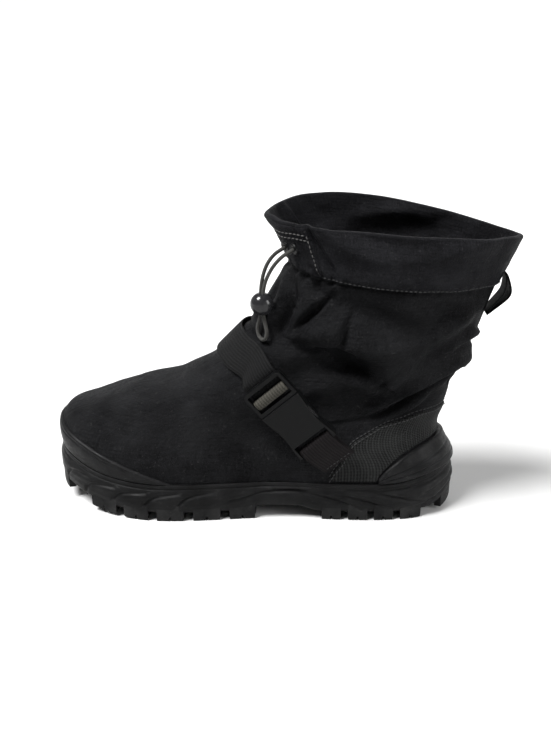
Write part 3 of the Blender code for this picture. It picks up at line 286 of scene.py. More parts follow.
# Scale of the listed creases, of the wall's grooves and of the cloth's smaller ripples
CREASE_WIDTH = 0.0100
CREASE_DEPTH = 0.0072
GROOVE_WIDTH = 0.0013
GROOVE_DEPTH = 0.0016
WALL_HEIGHT = RIM_HEIGHT - LUG_DEPTH
SOLE_GIRTH = 0.760
RIPPLE_DEPTH = 0.0008
GATHER_DEPTH = 0.0009
GATHER_PITCH = 0.0125
CUFF_BULGE = 0.0014
CUFF_HOLLOW = 0.0016
CALM_NEAR = 0.0030
CALM_FAR = 0.0150

# Size of the cloth's ripples and their stretch per axis; how far in level the gathers reach from the seam, how
# far around the flap draws them and over what size they drift; middle and width in level of the cuff's bulge
# and of the hollow under its seam; depth and width of the shaft's back seam
RIPPLE_SIZE = 0.021
FINE_RIPPLE_SIZE = 0.009
RIPPLE_STRETCH = (1.0, 1.0, 1.7)
GATHER_REACH = 0.040
DRAWN_REACH = 0.085
GATHER_DRIFT = 0.030
BULGE_PLACE = (0.045, 0.032)
HOLLOW_PLACE = (-0.018, 0.016)
SEAM_DEPTH = 0.0006
SEAM_WIDTH = 0.0012

# The shaft's creases: shape, width as a share of CREASE_WIDTH, height as a share of CREASE_DEPTH, then places
# around and up. A fold bulges above its line and is hollow under it.
CREASES = (
    # Lateral side, from the ankle up to the cuff
    ("fold", 0.85, 1.45, ((0.828, 0.316), (0.850, 0.332), (0.878, 0.356), (0.908, 0.406), (0.950, 0.440),
                          (0.995, 0.468))),
    ("trough", 0.34, 0.50, ((0.893, 0.308), (0.914, 0.342), (0.934, 0.362), (0.950, 0.398))),
    ("ridge", 0.45, 0.35, ((0.900, 0.332), (0.925, 0.368), (0.944, 0.405))),
    ("ridge", 1.25, 1.55, ((0.700, 0.652), (0.740, 0.628), (0.780, 0.602), (0.820, 0.578), (0.862, 0.552))),
    ("trough", 0.95, 1.35, ((0.664, 0.722), (0.700, 0.694), (0.740, 0.664), (0.790, 0.640), (0.860, 0.612))),
    ("fold", 0.95, 1.55, ((0.640, 0.590), (0.680, 0.572), (0.722, 0.566), (0.766, 0.530), (0.832, 0.468))),
    ("trough", 1.20, 1.35, ((0.672, 0.545), (0.715, 0.532), (0.760, 0.505), (0.800, 0.462))),
    ("ridge", 0.85, 1.45, ((0.722, 0.440), (0.746, 0.478), (0.785, 0.474), (0.832, 0.444))),
    ("trough", 0.95, 1.35, ((0.748, 0.432), (0.776, 0.398), (0.803, 0.378), (0.835, 0.372))),
    ("trough", 0.42, 1.25, ((0.622, 0.628), (0.632, 0.680), (0.646, 0.726))),
    ("ridge", 0.95, 1.30, ((0.652, 0.620), (0.680, 0.640), (0.702, 0.636))),
    ("trough", 0.42, 1.05, ((0.705, 0.660), (0.712, 0.628), (0.706, 0.590))),
    ("ridge", 1.10, 0.85, ((0.880, 0.590), (0.920, 0.628), (0.955, 0.664))),
    ("trough", 0.60, 0.35, ((0.868, 0.640), (0.905, 0.676), (0.945, 0.700))),
    ("trough", 1.00, 0.75, ((0.862, 0.540), (0.905, 0.552), (0.950, 0.584))),
    # Front, under the drawcord
    ("trough", 0.46, 1.20, ((0.541, 0.775), (0.560, 0.742), (0.574, 0.712), (0.588, 0.656), (0.604, 0.600))),
    ("ridge", 0.60, 1.05, ((0.556, 0.700), (0.566, 0.654), (0.572, 0.610))),
    ("trough", 0.34, 0.70, ((0.520, 0.740), (0.530, 0.690), (0.534, 0.640), (0.548, 0.596))),
    ("fold", 0.60, 0.90, ((0.452, 0.580), (0.480, 0.602), (0.510, 0.610), (0.548, 0.592), (0.590, 0.572))),
    ("ridge", 0.60, 0.60, ((0.600, 0.690), (0.612, 0.650), (0.622, 0.600))),
    ("trough", 0.36, 0.70, ((0.592, 0.812), (0.602, 0.780), (0.618, 0.748), (0.640, 0.722))),
    # Cuff
    ("trough", 0.30, 0.70, ((0.606, 0.965), (0.612, 0.900), (0.622, 0.840), (0.634, 0.790))),
    ("ridge", 0.75, 0.55, ((0.634, 0.930), (0.665, 0.885), (0.705, 0.855), (0.750, 0.842))),
    ("trough", 0.70, 0.55, ((0.650, 0.965), (0.700, 0.915), (0.755, 0.890), (0.815, 0.888))),
    ("ridge", 0.80, 0.50, ((0.800, 0.848), (0.850, 0.862), (0.900, 0.884), (0.950, 0.900))),
    ("trough", 0.60, 0.40, ((0.820, 0.905), (0.870, 0.916), (0.920, 0.940))),
    ("ridge", 0.75, 0.50, ((0.120, 0.870), (0.190, 0.880), (0.260, 0.868), (0.330, 0.850))),
    ("trough", 0.60, 0.45, ((0.160, 0.925), (0.240, 0.925), (0.320, 0.905))),
    ("trough", 0.34, 0.50, ((0.455, 0.960), (0.448, 0.900), (0.436, 0.840))),
    # Medial side
    ("fold", 0.75, 1.10, ((0.006, 0.470), (0.050, 0.446), (0.092, 0.410), (0.122, 0.372), (0.152, 0.338),
                          (0.172, 0.318))),
    ("ridge", 1.20, 1.30, ((0.130, 0.556), (0.176, 0.578), (0.222, 0.594), (0.270, 0.622), (0.305, 0.640))),
    ("trough", 0.95, 1.15, ((0.135, 0.614), (0.190, 0.636), (0.250, 0.662), (0.300, 0.698), (0.336, 0.724))),
    ("fold", 0.90, 1.30, ((0.172, 0.470), (0.236, 0.512), (0.290, 0.548), (0.350, 0.590))),
    ("ridge", 0.85, 1.20, ((0.158, 0.446), (0.198, 0.470), (0.240, 0.474), (0.276, 0.446))),
    ("trough", 0.95, 1.20, ((0.168, 0.374), (0.200, 0.382), (0.232, 0.408), (0.258, 0.430))),
    ("trough", 0.34, 0.70, ((0.352, 0.630), (0.366, 0.682), (0.362, 0.730))),
    ("trough", 0.34, 0.75, ((0.402, 0.600), (0.412, 0.650), (0.428, 0.706), (0.446, 0.762))),
    ("ridge", 0.55, 0.65, ((0.388, 0.610), (0.392, 0.656), (0.400, 0.700))),
    ("trough", 0.34, 0.65, ((0.452, 0.616), (0.464, 0.664), (0.474, 0.718))),
    ("ridge", 0.90, 0.45, ((0.045, 0.640), (0.086, 0.620), (0.124, 0.586))),
    ("trough", 0.55, 0.40, ((0.050, 0.694), (0.100, 0.676), (0.140, 0.650))),
    # Back, above the heel
    ("fold", 0.60, 0.55, ((-0.045, 0.546), (-0.010, 0.560), (0.030, 0.556), (0.062, 0.536))),
    ("trough", 0.50, 0.45, ((-0.040, 0.402), (0.000, 0.412), (0.040, 0.400))),
    ("ridge", 0.80, 0.40, ((-0.040, 0.692), (0.000, 0.706), (0.045, 0.690))),
    # Foot: the vamp's bulge and its soft bends
    ("ridge", 1.30, 0.55, ((0.772, 0.268), (0.800, 0.258), (0.818, 0.216), (0.826, 0.160))),
    ("trough", 0.90, 0.35, ((0.740, 0.250), (0.756, 0.210), (0.770, 0.150))),
    ("trough", 0.90, 0.45, ((0.430, 0.296), (0.466, 0.336), (0.500, 0.352), (0.540, 0.338), (0.580, 0.296))),
    ("ridge", 0.80, 0.30, ((0.440, 0.336), (0.500, 0.392), (0.560, 0.340))),
    ("trough", 0.70, 0.40, ((0.440, 0.400), (0.470, 0.424), (0.500, 0.434), (0.540, 0.420), (0.575, 0.392))),
    ("trough", 0.60, 0.30, ((0.911, 0.190), (0.936, 0.220), (0.968, 0.242))),
    ("ridge", 1.10, 0.40, ((0.160, 0.150), (0.184, 0.214), (0.214, 0.260), (0.246, 0.262))),
)

# Grooves of the sole's side: depth as a share of GROOVE_DEPTH, then places around and up the wall
WALL_GROOVES = (
    (1.0, ((0.742, 0.44), (0.762, 0.56), (0.780, 0.65), (0.802, 0.69), (0.828, 0.60),
           (0.851, 0.44), (0.871, 0.14))),
    (1.0, ((0.786, 0.72), (0.826, 0.72), (0.856, 0.60), (0.881, 0.41), (0.904, 0.10))),
    (1.0, ((0.828, 0.80), (0.876, 0.73), (0.906, 0.57), (0.929, 0.34), (0.952, 0.22))),
    (1.0, ((0.858, 0.80), (0.901, 0.77), (0.930, 0.76), (0.954, 0.80), (0.985, 0.84), (1.010, 0.80))),
    (0.8, ((0.940, 0.48), (0.972, 0.58), (0.996, 0.66), (1.020, 0.58))),
    (0.8, ((0.917, 0.08), (0.942, 0.16), (0.962, 0.28), (0.984, 0.36), (1.008, 0.30))),
    (1.0, ((0.258, 0.44), (0.238, 0.56), (0.220, 0.65), (0.198, 0.69), (0.172, 0.60),
           (0.149, 0.44), (0.129, 0.14))),
    (1.0, ((0.214, 0.72), (0.174, 0.72), (0.144, 0.60), (0.119, 0.41), (0.096, 0.10))),
    (1.0, ((0.172, 0.80), (0.124, 0.73), (0.094, 0.57), (0.071, 0.34), (0.048, 0.22))),
    (1.0, ((0.142, 0.80), (0.099, 0.77), (0.070, 0.76), (0.046, 0.80), (0.015, 0.84))),
    (0.8, ((0.060, 0.48), (0.034, 0.57), (0.012, 0.62))),
)

# Where the forefoot's flow lines end at the tread, around the sole, and each line's reach back and up
FLOW_ENDS = (0.292, 0.326, 0.360, 0.394, 0.428, 0.574, 0.606, 0.640, 0.674, 0.708)
FLOW_REACH = 0.034
FLOW_TOP = 0.74
TOP_GROOVE = 0.87


def column(table, name):
    """One named column of a table whose first row names its columns."""
    place = table[0].index(name)
    return np.array([row[place] for row in table[1:]], float)


def smooth_lookup(knots, values, at):
    """A smooth curve through the values at the knots, read at the places in `at`."""
    slopes = np.gradient(values, knots)
    i = np.clip(np.searchsorted(knots, at, side="right") - 1, 0, len(knots) - 2)
    step = knots[i + 1] - knots[i]
    t = (at - knots[i]) / step
    rise = values[i] * (1 + 2 * t) * (1 - t) ** 2 + values[i + 1] * t**2 * (3 - 2 * t)
    return rise + step * (slopes[i] * t * (1 - t) ** 2 - slopes[i + 1] * t**2 * (1 - t))


def smooth_step(low, high, at):
    t = np.clip((np.asarray(at, float) - low) / (high - low), 0, 1)
    return t * t * (3 - 2 * t)


def bell(at, middle, width):
    """A soft hump: 1 at its middle, about a third of that at its width."""
    return np.exp(-(((at - middle) / width) ** 2))


def outline(table, around):
    """Along and across shares of a closed outline. around is 0 at the back, 0.5 at the front, past the medial
    side."""
    along = column(table, "along")
    medial = column(table, "medial")
    lateral = column(table, "lateral")
    loop_along = np.concatenate([along, along[-2:0:-1]])
    loop_across = np.concatenate([medial, -lateral[-2:0:-1]])
    half_share = HALF_BALL / SOLE_LENGTH
    closed_along = np.append(loop_along, loop_along[0])
    closed_across = np.append(loop_across, loop_across[0])
    chords = np.hypot(np.diff(closed_along), np.diff(closed_across) * half_share)
    run = np.concatenate([[0.0], np.cumsum(chords)])
    tip = len(along) - 1
    knots = np.where(
        np.arange(len(run)) <= tip,
        0.5 * run / run[tip],
        0.5 + 0.5 * (run - run[tip]) / (run[-1] - run[tip]),
    )
    pad = 3
    wide_knots = np.concatenate([knots[-1 - pad : -1] - 1, knots, knots[1 : 1 + pad] + 1])
    wide_along = np.concatenate([closed_along[-1 - pad : -1], closed_along, closed_along[1 : 1 + pad]])
    wide_across = np.concatenate([closed_across[-1 - pad : -1], closed_across, closed_across[1 : 1 + pad]])
    turn = np.mod(np.asarray(around, float), 1.0)
    return smooth_lookup(wide_knots, wide_along, turn), smooth_lookup(wide_knots, wide_across, turn)


def station(x):
    """Share of the sole's length forward of its back, at a place along X."""
    return (HEEL_BACK - x) / SOLE_LENGTH


def along_x(share):
    return HEEL_BACK - share * SOLE_LENGTH


def tread_height(share):
    """Height of the tread's lowest surface: flat under heel and ball, raised at the toe and the heel."""
    toe = np.clip((np.asarray(share, float) - 0.72) / 0.28, 0, 1)
    heel = np.clip((0.075 - np.asarray(share, float)) / 0.075, 0, 1)
    return TOE_SPRING * toe**2 + HEEL_BEVEL * heel**2


def spring(share):
    """How far the toe's part of sole and upper is raised."""
    toe = np.clip((np.asarray(share, float) - 0.72) / 0.28, 0, 1)
    return TOE_SPRING * toe**2


def base_height(share):
    """Height of the sole's plate between the lugs, with the arch."""
    arch = smooth_step(0.33, 0.39, share) * (1 - smooth_step(0.46, 0.52, share))
    return LUG_DEPTH + tread_height(share) + ARCH_RISE * arch


def rim_height(share):
    """Height of the sole's upper rim, which sweeps up at the heel and a little at the toe."""
    heel = 1 - smooth_step(0.0, 0.17, share)
    toe = smooth_step(0.86, 1.0, share)
    return RIM_HEIGHT + RIM_HEEL_RISE * heel + RIM_TOE_RISE * toe + spring(share)


def fold_height(points, side_share):
    """How far the shaft's large folds push its surface out at these points."""
    raised = np.zeros(points.shape[:-1])
    along = station(points[..., 0])
    up = points[..., 2] / BOOT_HEIGHT
    for side, from_along, from_up, to_along, to_up, width, height in SHAFT_FOLDS[1:]:
        run = np.array([(to_along - from_along) * SOLE_LENGTH, (to_up - from_up) * BOOT_HEIGHT])
        length = np.hypot(*run)
        ahead = (along - from_along) * SOLE_LENGTH
        above = (up - from_up) * BOOT_HEIGHT
        t = (ahead * run[0] + above * run[1]) / length**2
        off = (above * run[0] - ahead * run[1]) / length / (width * FOLD_WIDTH)
        reach = smooth_step(-0.25, 0.15, t) * (1 - smooth_step(0.85, 1.25, t))
        facing = smooth_step(0.15, 0.6, side * side_share)
        crest = np.exp(-((off - 0.6) ** 2)) - 0.8 * np.exp(-((off + 0.7) ** 2) * 1.4)
        raised += height * FOLD_HEIGHT * crest * reach * facing
    return raised


def upper_base(around, level):
    """The upper's outer surface without its folds, and the across share of each point."""
    knots = np.linspace(0, 1, len(UPPER_RINGS) - 1)
    ring = {name: smooth_lookup(knots, column(UPPER_RINGS, name), level) for name in UPPER_RINGS[0]}
    foot_along, foot_across = outline(FOOT_OUTLINE, around)
    shaft_along, shaft_across = outline(SHAFT_OUTLINE, around)
    along = foot_along + (shaft_along - foot_along) * ring["shaft"]
    across = foot_across + (shaft_across - foot_across) * ring["shaft"]
    share = ring["back"] + (ring["front"] - ring["back"]) * along
    half = np.where(across > 0, ring["medial"], ring["lateral"]) * HALF_BALL
    up = ring["back_up"] + (ring["front_up"] - ring["back_up"]) * along
    up = up + np.where(across > 0, ring["medial_up"], ring["lateral_up"]) * across**2
    floor = FLOOR_HEIGHT + CLEARANCE
    z = floor + up * (BOOT_HEIGHT - floor) + spring(share) * (1 - ring["shaft"])
    return np.stack([along_x(share), across * half, z], axis=-1), across


def normals_of(surface, around, level):
    """Unit normals, pointing out, of a surface function of around and level."""
    step = 2e-4
    low = np.clip(level - step, 0, 1)
    high = np.clip(level + step, 0, 1)
    turn = surface(around + step, level) - surface(around - step, level)
    rise = surface(around, high) - surface(around, low)
    normal = np.cross(turn, rise)
    return normal / np.linalg.norm(normal, axis=-1, keepdims=True)


def upper_folded(around, level):
    """The upper's outer surface with its folds."""
    around, level = np.broadcast_arrays(np.asarray(around, float), np.asarray(level, float))
    points, across = upper_base(around, level)
    normal = normals_of(lambda a, v: upper_base(a, v)[0], around, level)
    return points + normal * fold_height(points, across)[..., None]


def upper_points(around, level, out=0.0):
    """Points at a distance `out` from the upper's outer surface, along its normal."""
    around, level = np.broadcast_arrays(np.asarray(around, float), np.asarray(level, float))
    return upper_folded(around, level) + normals_of(upper_folded, around, level) * out


def level_at_height(around, height):
    """The upper's level at which its surface reaches a height, for each place around."""
    around = np.asarray(around, float)
    low = np.zeros(around.shape)
    high = np.ones(around.shape)
    for _ in range(30):
        middle = (low + high) / 2
        above = upper_base(around, middle)[0][..., 2] > height
        high = np.where(above, middle, high)
        low = np.where(above, low, middle)
    return (low + high) / 2


def sole_outline(around, grow=0.0):
    """Plan points of the sole's outline, grown outwards by `grow`."""
    around = np.asarray(around, float)

    def plan(a):
        along, across = outline(FOOT_OUTLINE, a)
        return np.stack([along_x(along), across * HALF_BALL], axis=-1)

    step = 1e-3
    run = plan(around + step) - plan(around - step)
    side = np.stack([-run[..., 1], run[..., 0]], axis=-1)
    side = -side / np.linalg.norm(side, axis=-1, keepdims=True)
    return plan(around) + side * np.asarray(grow)[..., None]


def side_wall(around, up):
    """Points of the sole's side wall at a share of the way up it."""
    around = np.asarray(around, float)
    out = WALL_SWELL * np.interp(up, column(SIDE_PROFILE, "up"), column(SIDE_PROFILE, "out"))
    plan = sole_outline(around, np.broadcast_to(out, around.shape))
    share = station(plan[..., 0])
    low = base_height(share)
    z = low + (rim_height(share) - low) * up
    return np.concatenate([plan, z[..., None]], axis=-1)


def edge_at(share, side, inset):
    """Plan point on the outline at a share of the length, on one side, moved in by `inset`."""
    around = np.linspace(0.0, 0.5, 400) if side > 0 else np.linspace(1.0, 0.5, 400)
    plan = sole_outline(around, np.full(around.shape, -inset))
    shares = station(plan[:, 0])
    widest = np.maximum.accumulate(shares)
    return np.array([along_x(share), np.interp(share, widest, plan[:, 1])])


def place_on_side(along, up, side):
    """Around and level of the place on one side that lies at a share of the length and of the height."""
    around = np.linspace(0.02, 0.498, 240)
    around = around if side > 0 else 1 - around
    level = level_at_height(around, np.full(around.shape, up * BOOT_HEIGHT))
    shares = station(upper_base(around, level)[0][:, 0])
    order = np.argsort(shares)
    at = np.interp(along, shares[order], around[order])
    return at, float(level_at_height(np.array([at]), up * BOOT_HEIGHT)[0])


def surface_cloud():
    """Many points on what the straps and the buckle lie on."""
    around, level = np.meshgrid(np.linspace(0, 1, 321)[:-1], np.linspace(0, 1, 181))
    return upper_points(around.ravel(), level.ravel(), CLEARANCE + QUARTER_THICKNESS)


def rest_height(cloud, origin, axes, half_length, half_width):
    """How far the surface stands out over a flat footprint, along its normal. axes: along, across, normal."""
    local = (cloud - origin) @ np.array(axes).T
    near = np.abs(local[:, 2]) < BUCKLE_WIDTH
    inside = near & (np.abs(local[:, 0]) < half_length) & (np.abs(local[:, 1]) < half_width)
    return local[inside, 2].max()


def unit(v):
    return v / np.linalg.norm(v)


def buckle_frame_axes(cloud):
    """Origin and axes of the fastened buckle: along the strap, across it and away from the boot."""
    low = upper_points(*place_on_side(*BUCKLE_LOW, -1))
    high = upper_points(*place_on_side(*BUCKLE_HIGH, -1))
    middle = place_on_side((BUCKLE_LOW[0] + BUCKLE_HIGH[0]) / 2, (BUCKLE_LOW[1] + BUCKLE_HIGH[1]) / 2, -1)
    along = unit(high - low)
    normal = normals_of(upper_folded, np.array(middle[0]), np.array(middle[1]))
    across = unit(np.cross(normal, along))
    normal = np.cross(along, across)
    axes = np.array([along, across, normal])
    length = BODY_LENGTH + FRAME_LENGTH
    centre = upper_points(*middle)
    lift = rest_height(cloud, centre, axes, length / 2, BUCKLE_WIDTH / 2)
    origin = centre - along * length / 2 + normal * (lift + STRAP_STANDOFF)
    return origin, axes


def to_world(local, origin, axes):
    return origin + np.asarray(local, float) @ np.array(axes)


def bar_wrap(bar_start, side):
    """Places in the buckle's own along-and-out plane that take the webbing round a bar, from below to above.
    side is 1 round the bar's far edge and -1 round its near edge."""
    layer = CLEARANCE + WEBBING_THICKNESS / 2
    low = (BUCKLE_THICKNESS - BAR_THICKNESS) / 2 - layer
    high = (BUCKLE_THICKNESS + BAR_THICKNESS) / 2 + layer
    edge = bar_start + BAR_WIDTH + layer if side > 0 else bar_start - layer
    turn = layer / 2
    return [
        (edge - side * turn, low),
        (edge, low + turn),
        (edge, high - turn),
        (edge - side * turn, high),
    ]


def cord_frame():
    """Where the drawcord leaves the placket: origin, and axes out, aside and ahead."""
    around = np.array(EYELET_AROUND)
    level = np.array(EYELET_LEVEL)
    out = normals_of(upper_folded, around, level)
    seat = 3 * CLEARANCE + CUFF_THICKNESS + PLACKET_THICKNESS
    origin = upper_points(around, level, seat)
    aside = unit(np.cross(UP, out))
    flat = np.cross(aside, UP)
    ahead = flat * math.cos(CORD_TURN) + np.cross(UP, flat) * math.sin(CORD_TURN)
    return origin, out, aside, ahead


def unit_rows(v):
    return v / np.linalg.norm(v, axis=-1, keepdims=True)


def lengths_along(points):
    """Distance of each point of a path from its start."""
    return np.concatenate([[0.0], np.cumsum(np.linalg.norm(np.diff(points, axis=0), axis=1))])


def way_points(points, count=16):
    """A smooth way through a few places around and up."""
    points = np.array(points, float)
    steps = np.diff(points, axis=0) * (SHAFT_GIRTH, BOOT_HEIGHT)
    run = np.concatenate([[0.0], np.cumsum(np.hypot(steps[:, 0], steps[:, 1]))])
    at = np.linspace(0, run[-1], count)
    if len(points) < 3:
        return np.column_stack([np.interp(at, run, points[:, 0]), np.interp(at, run, points[:, 1])])
    return np.column_stack([smooth_lookup(run, points[:, 0], at), smooth_lookup(run, points[:, 1], at)])


def beside(around, up, way, girth, height):
    """How far each place lies beside a way, positive on its left, and its share of the way along it."""
    middle = way[:, 0].mean()
    x = (np.mod(around - middle + 0.5, 1.0) - 0.5) * girth
    y = up * height
    way_x = (way[:, 0] - middle) * girth
    way_y = way[:, 1] * height
    best = np.full(x.shape, 1.0)
    left = np.ones(x.shape)
    share = np.zeros(x.shape)
    last = len(way) - 1
    for k in range(last):
        run_x = way_x[k + 1] - way_x[k]
        run_y = way_y[k + 1] - way_y[k]
        t = np.clip(((x - way_x[k]) * run_x + (y - way_y[k]) * run_y) / (run_x**2 + run_y**2), 0, 1)
        off_x = x - way_x[k] - t * run_x
        off_y = y - way_y[k] - t * run_y
        off = np.hypot(off_x, off_y)
        closer = off < best
        best = np.where(closer, off, best)
        left = np.where(closer, np.sign(run_x * off_y - run_y * off_x), left)
        share = np.where(closer, (k + t) / last, share)
    return best * left, share


def crease_shape(shape, off):
    """The section of a crease, across it."""
    if shape == "ridge":
        return bell(off, 0.0, 1.0)
    if shape == "trough":
        return -bell(off, 0.0, 1.0)
    return 0.85 * bell(off, 0.95, 0.95) - 0.95 * bell(off, -0.15, 0.42)


def value_noise(points, size, seed):
    """Smooth noise from -1 to 1 with bumps of about `size`."""
    place = points / size
    cell = np.floor(place).astype(np.int64)
    part = place - cell
    part = part * part * (3 - 2 * part)

    def corner(dx, dy, dz):
        mixed = (cell[..., 0] + dx) * 374761393 + (cell[..., 1] + dy) * 668265263
        mixed = mixed + (cell[..., 2] + dz) * 1442695041
        mixed = (mixed + seed * 974711) & 0xFFFFFFFF
        mixed = ((mixed ^ (mixed >> 13)) * 1274126177) & 0xFFFFFFFF
        return ((mixed ^ (mixed >> 16)) & 0xFFFF) / 32767.5 - 1

    total = np.zeros(place.shape[:-1])
    for dx in (0, 1):
        for dy in (0, 1):
            for dz in (0, 1):
                weight = (
                    (part[..., 0] if dx else 1 - part[..., 0])
                    * (part[..., 1] if dy else 1 - part[..., 1])
                    * (part[..., 2] if dz else 1 - part[..., 2])
                )
                total = total + weight * corner(dx, dy, dz)
    return total


def covered_ways():
    """Places around and up where the strap, the buckle and the loop lie on the boot."""
    tail = (2 * BUCKLE_LOW[0] - 0.5 * (BUCKLE_LOW[0] + BUCKLE_HIGH[0]), BUCKLE_LOW[1] - 0.09)
    strap = []
    for side, along, up in ((-1, *tail), (-1, *BUCKLE_LOW), (-1, *BUCKLE_HIGH), *STRAP_ROUTE[1:]):
        around = place_on_side(along, up, side)[0] if side else 0.5
        strap.append((around, up))
    return np.array(strap), np.array([(0.0, 0.64), (0.0, 0.86)])


def calm(around, up, ways):
    """0 where something lies on the fabric, 1 where it is free."""
    strap = np.abs(beside(around, up, ways[0], SHAFT_GIRTH, BOOT_HEIGHT)[0]) - WEBBING_WIDTH / 2
    loop = np.abs(beside(around, up, ways[1], SHAFT_GIRTH, BOOT_HEIGHT)[0]) - LOOP_WIDTH / 2
    return smooth_step(CALM_NEAR, CALM_FAR, strap) * smooth_step(0.0, CALM_NEAR, loop)


def creases(around, level, points):
    """How far the fabric stands out from the upper's large form."""
    up = points[..., 2] / BOOT_HEIGHT
    push = np.zeros(up.shape)
    for shape, width, height, places in CREASES:
        way = way_points(places)
        off, share = beside(around, up, way, SHAFT_GIRTH, BOOT_HEIGHT)
        taper = 0.35 + 0.65 * np.sin(np.pi * np.clip(share, 0.0, 1.0))
        fade = smooth_step(-7.0, -4.0, -np.abs(off) / (width * CREASE_WIDTH))
        push += crease_shape(shape, off / (width * CREASE_WIDTH)) * height * CREASE_DEPTH * taper * fade
    shaft = smooth_step(0.26, 0.42, up)
    flat = points * RIPPLE_STRETCH
    ripple = value_noise(flat, RIPPLE_SIZE, 3) + 0.45 * value_noise(flat, FINE_RIPPLE_SIZE, 8)
    push += RIPPLE_DEPTH * ripple * (0.30 + 0.95 * shaft)
    over_seam = level - CUFF_SEAM_LEVEL
    seam = bell(over_seam, 0.0, GATHER_REACH)
    drawn = 0.30 + 1.1 * bell(np.mod(around, 1.0), PLACKET_CENTRE, DRAWN_REACH)
    turn = np.mod(around, 1.0) * SHAFT_GIRTH
    wave = np.sin(2 * np.pi * turn / GATHER_PITCH + 2.2 * value_noise(flat, GATHER_DRIFT, 5))
    push += GATHER_DEPTH * seam * drawn * wave
    above = smooth_step(CUFF_SEAM_LEVEL, 0.90, level)
    push += 0.55 * GATHER_DEPTH * above * drawn * np.sin(2 * np.pi * turn / (1.9 * GATHER_PITCH) + 1.0)
    push += CUFF_BULGE * bell(over_seam, *BULGE_PLACE)
    push -= CUFF_HOLLOW * bell(over_seam, *HOLLOW_PLACE)
    push -= SEAM_DEPTH * bell(from_back(around) * SHAFT_GIRTH, 0.0, SEAM_WIDTH) * smooth_step(0.25, 0.30, up)
    free = calm(around, up, COVERED)
    return np.where(push > 0, push * free, push * (0.4 + 0.6 * free))


def soft_points(around, level, out=0.0, ease=1.0):
    """Points at a distance `out` from the creased upper."""
    around, level = np.broadcast_arrays(np.asarray(around, float), np.asarray(level, float))
    points = upper_folded(around, level)
    normal = normals_of(upper_folded, around, level)
    push = creases(around, level, points) * ease
    return points + normal * (push + out)[..., None]


def mesh_object(name, vertices, faces, material, corners=None, angle=math.radians(40)):
    """A smooth named object. corners holds a flat place on the cloth for each face corner, in metres."""
    mesh = bpy.data.meshes.new(name)
    mesh.from_pydata(np.asarray(vertices, float).tolist(), [], [list(map(int, f)) for f in faces])
    if corners is not None:
        layer = mesh.uv_layers.new(name="flat")
        layer.data.foreach_set("uv", np.asarray(corners, float).ravel())
    mesh.materials.append(material)
    mesh.shade_smooth()
    mesh.set_sharp_from_angle(angle=angle)
    thing = bpy.data.objects.new(name, mesh)
    bpy.context.scene.collection.objects.link(thing)
    return thing


def grid_faces(rows, columns, closed=False):
    i = np.arange(rows - 1)[:, None]
    j = np.arange(columns if closed else columns - 1)[None, :]
    k = (j + 1) % columns
    return np.stack(np.broadcast_arrays(i * columns + j, i * columns + k, (i + 1) * columns + k,
                                        (i + 1) * columns + j), axis=-1).reshape(-1, 4)


def grid_corners(flat, rows, columns, closed=False):
    """Flat places of each face's corners. flat has one column more than a closed grid."""
    i = np.arange(rows - 1)[:, None]
    j = np.arange(columns if closed else columns - 1)[None, :]
    return np.stack([flat[i, j], flat[i, j + 1], flat[i + 1, j + 1], flat[i + 1, j]], axis=2).reshape(-1, 2)


def grid_object(name, grid, flat, material, closed=False, angle=math.radians(60)):
    rows, columns = grid.shape[:2]
    faces = grid_faces(rows, columns, closed)
    corners = grid_corners(flat, rows, columns, closed)
    return mesh_object(name, grid.reshape(-1, 3), faces, material, corners, angle)


def flat_places(around, grid, closed):
    """Places on the cloth for a grid: the way round and the height."""
    turn = np.append(around, around[0] + 1.0) if closed else around
    height = np.concatenate([grid[..., 2], grid[:, :1, 2]], axis=1) if closed else grid[..., 2]
    return np.stack([np.broadcast_to(turn * SHAFT_GIRTH, height.shape), height], axis=-1)


def hang(piece, slot, *nodes):
    """Rides a piece on the boot and hides the solids that it stands for; slot is not used."""
    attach(piece, "root")
    if nodes:
        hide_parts(*nodes)
    return piece


# Rows of a layer's rounded edge, as shares of its thickness, and how far a layer sinks into what carries it
EDGE_STEPS = (0.0, 0.08, 0.25, 0.5, 0.8, 1.1, 1.6)
LAYER_SINK = 0.0002


def shell(name, around, low, high, seat, thickness, rows, slot, material,
          closed=False, sides=False, relief=None):
    """A sewn or moulded layer on the upper with rounded edges, between two edges given as levels."""
    heights = np.linalg.norm(upper_folded(around, high) - upper_folded(around, low), axis=-1)
    edge = np.array(EDGE_STEPS) * thickness
    count = len(edge)
    room = np.maximum(heights, 1e-6)
    first = [np.minimum(e / room, 0.48 * (n + 1) / count) if n else np.zeros(room.shape)
             for n, e in enumerate(edge)]
    start, stop = first[-1], 1 - first[-1]
    inner = [start + (stop - start) * t for t in np.linspace(0, 1, rows)[1:-1]]
    share = np.array(first + inner + [1 - f for f in first[::-1]])
    level = low + (high - low) * share
    from_edge = np.minimum(share, 1 - share) * room
    if sides:
        run = np.linspace(0.0, (around[-1] - around[0]) * SHAFT_GIRTH, len(around))
        from_side = np.minimum(run, run[-1] - run)
        from_edge = np.minimum(from_edge, from_side[None, :])
    rise = np.sqrt(1 - (1 - np.clip(from_edge / thickness, 0, 1)) ** 2)
    out = seat + (thickness + CLEARANCE) * rise - LAYER_SINK
    turn = np.broadcast_to(around, level.shape)
    if relief is not None:
        out = out + relief(turn, share) * rise
    grid = soft_points(turn, level, out)
    return hang(grid_object(name, grid, flat_places(around, grid, closed), material, closed), slot)


COAT_ROUGHNESS = 0.12


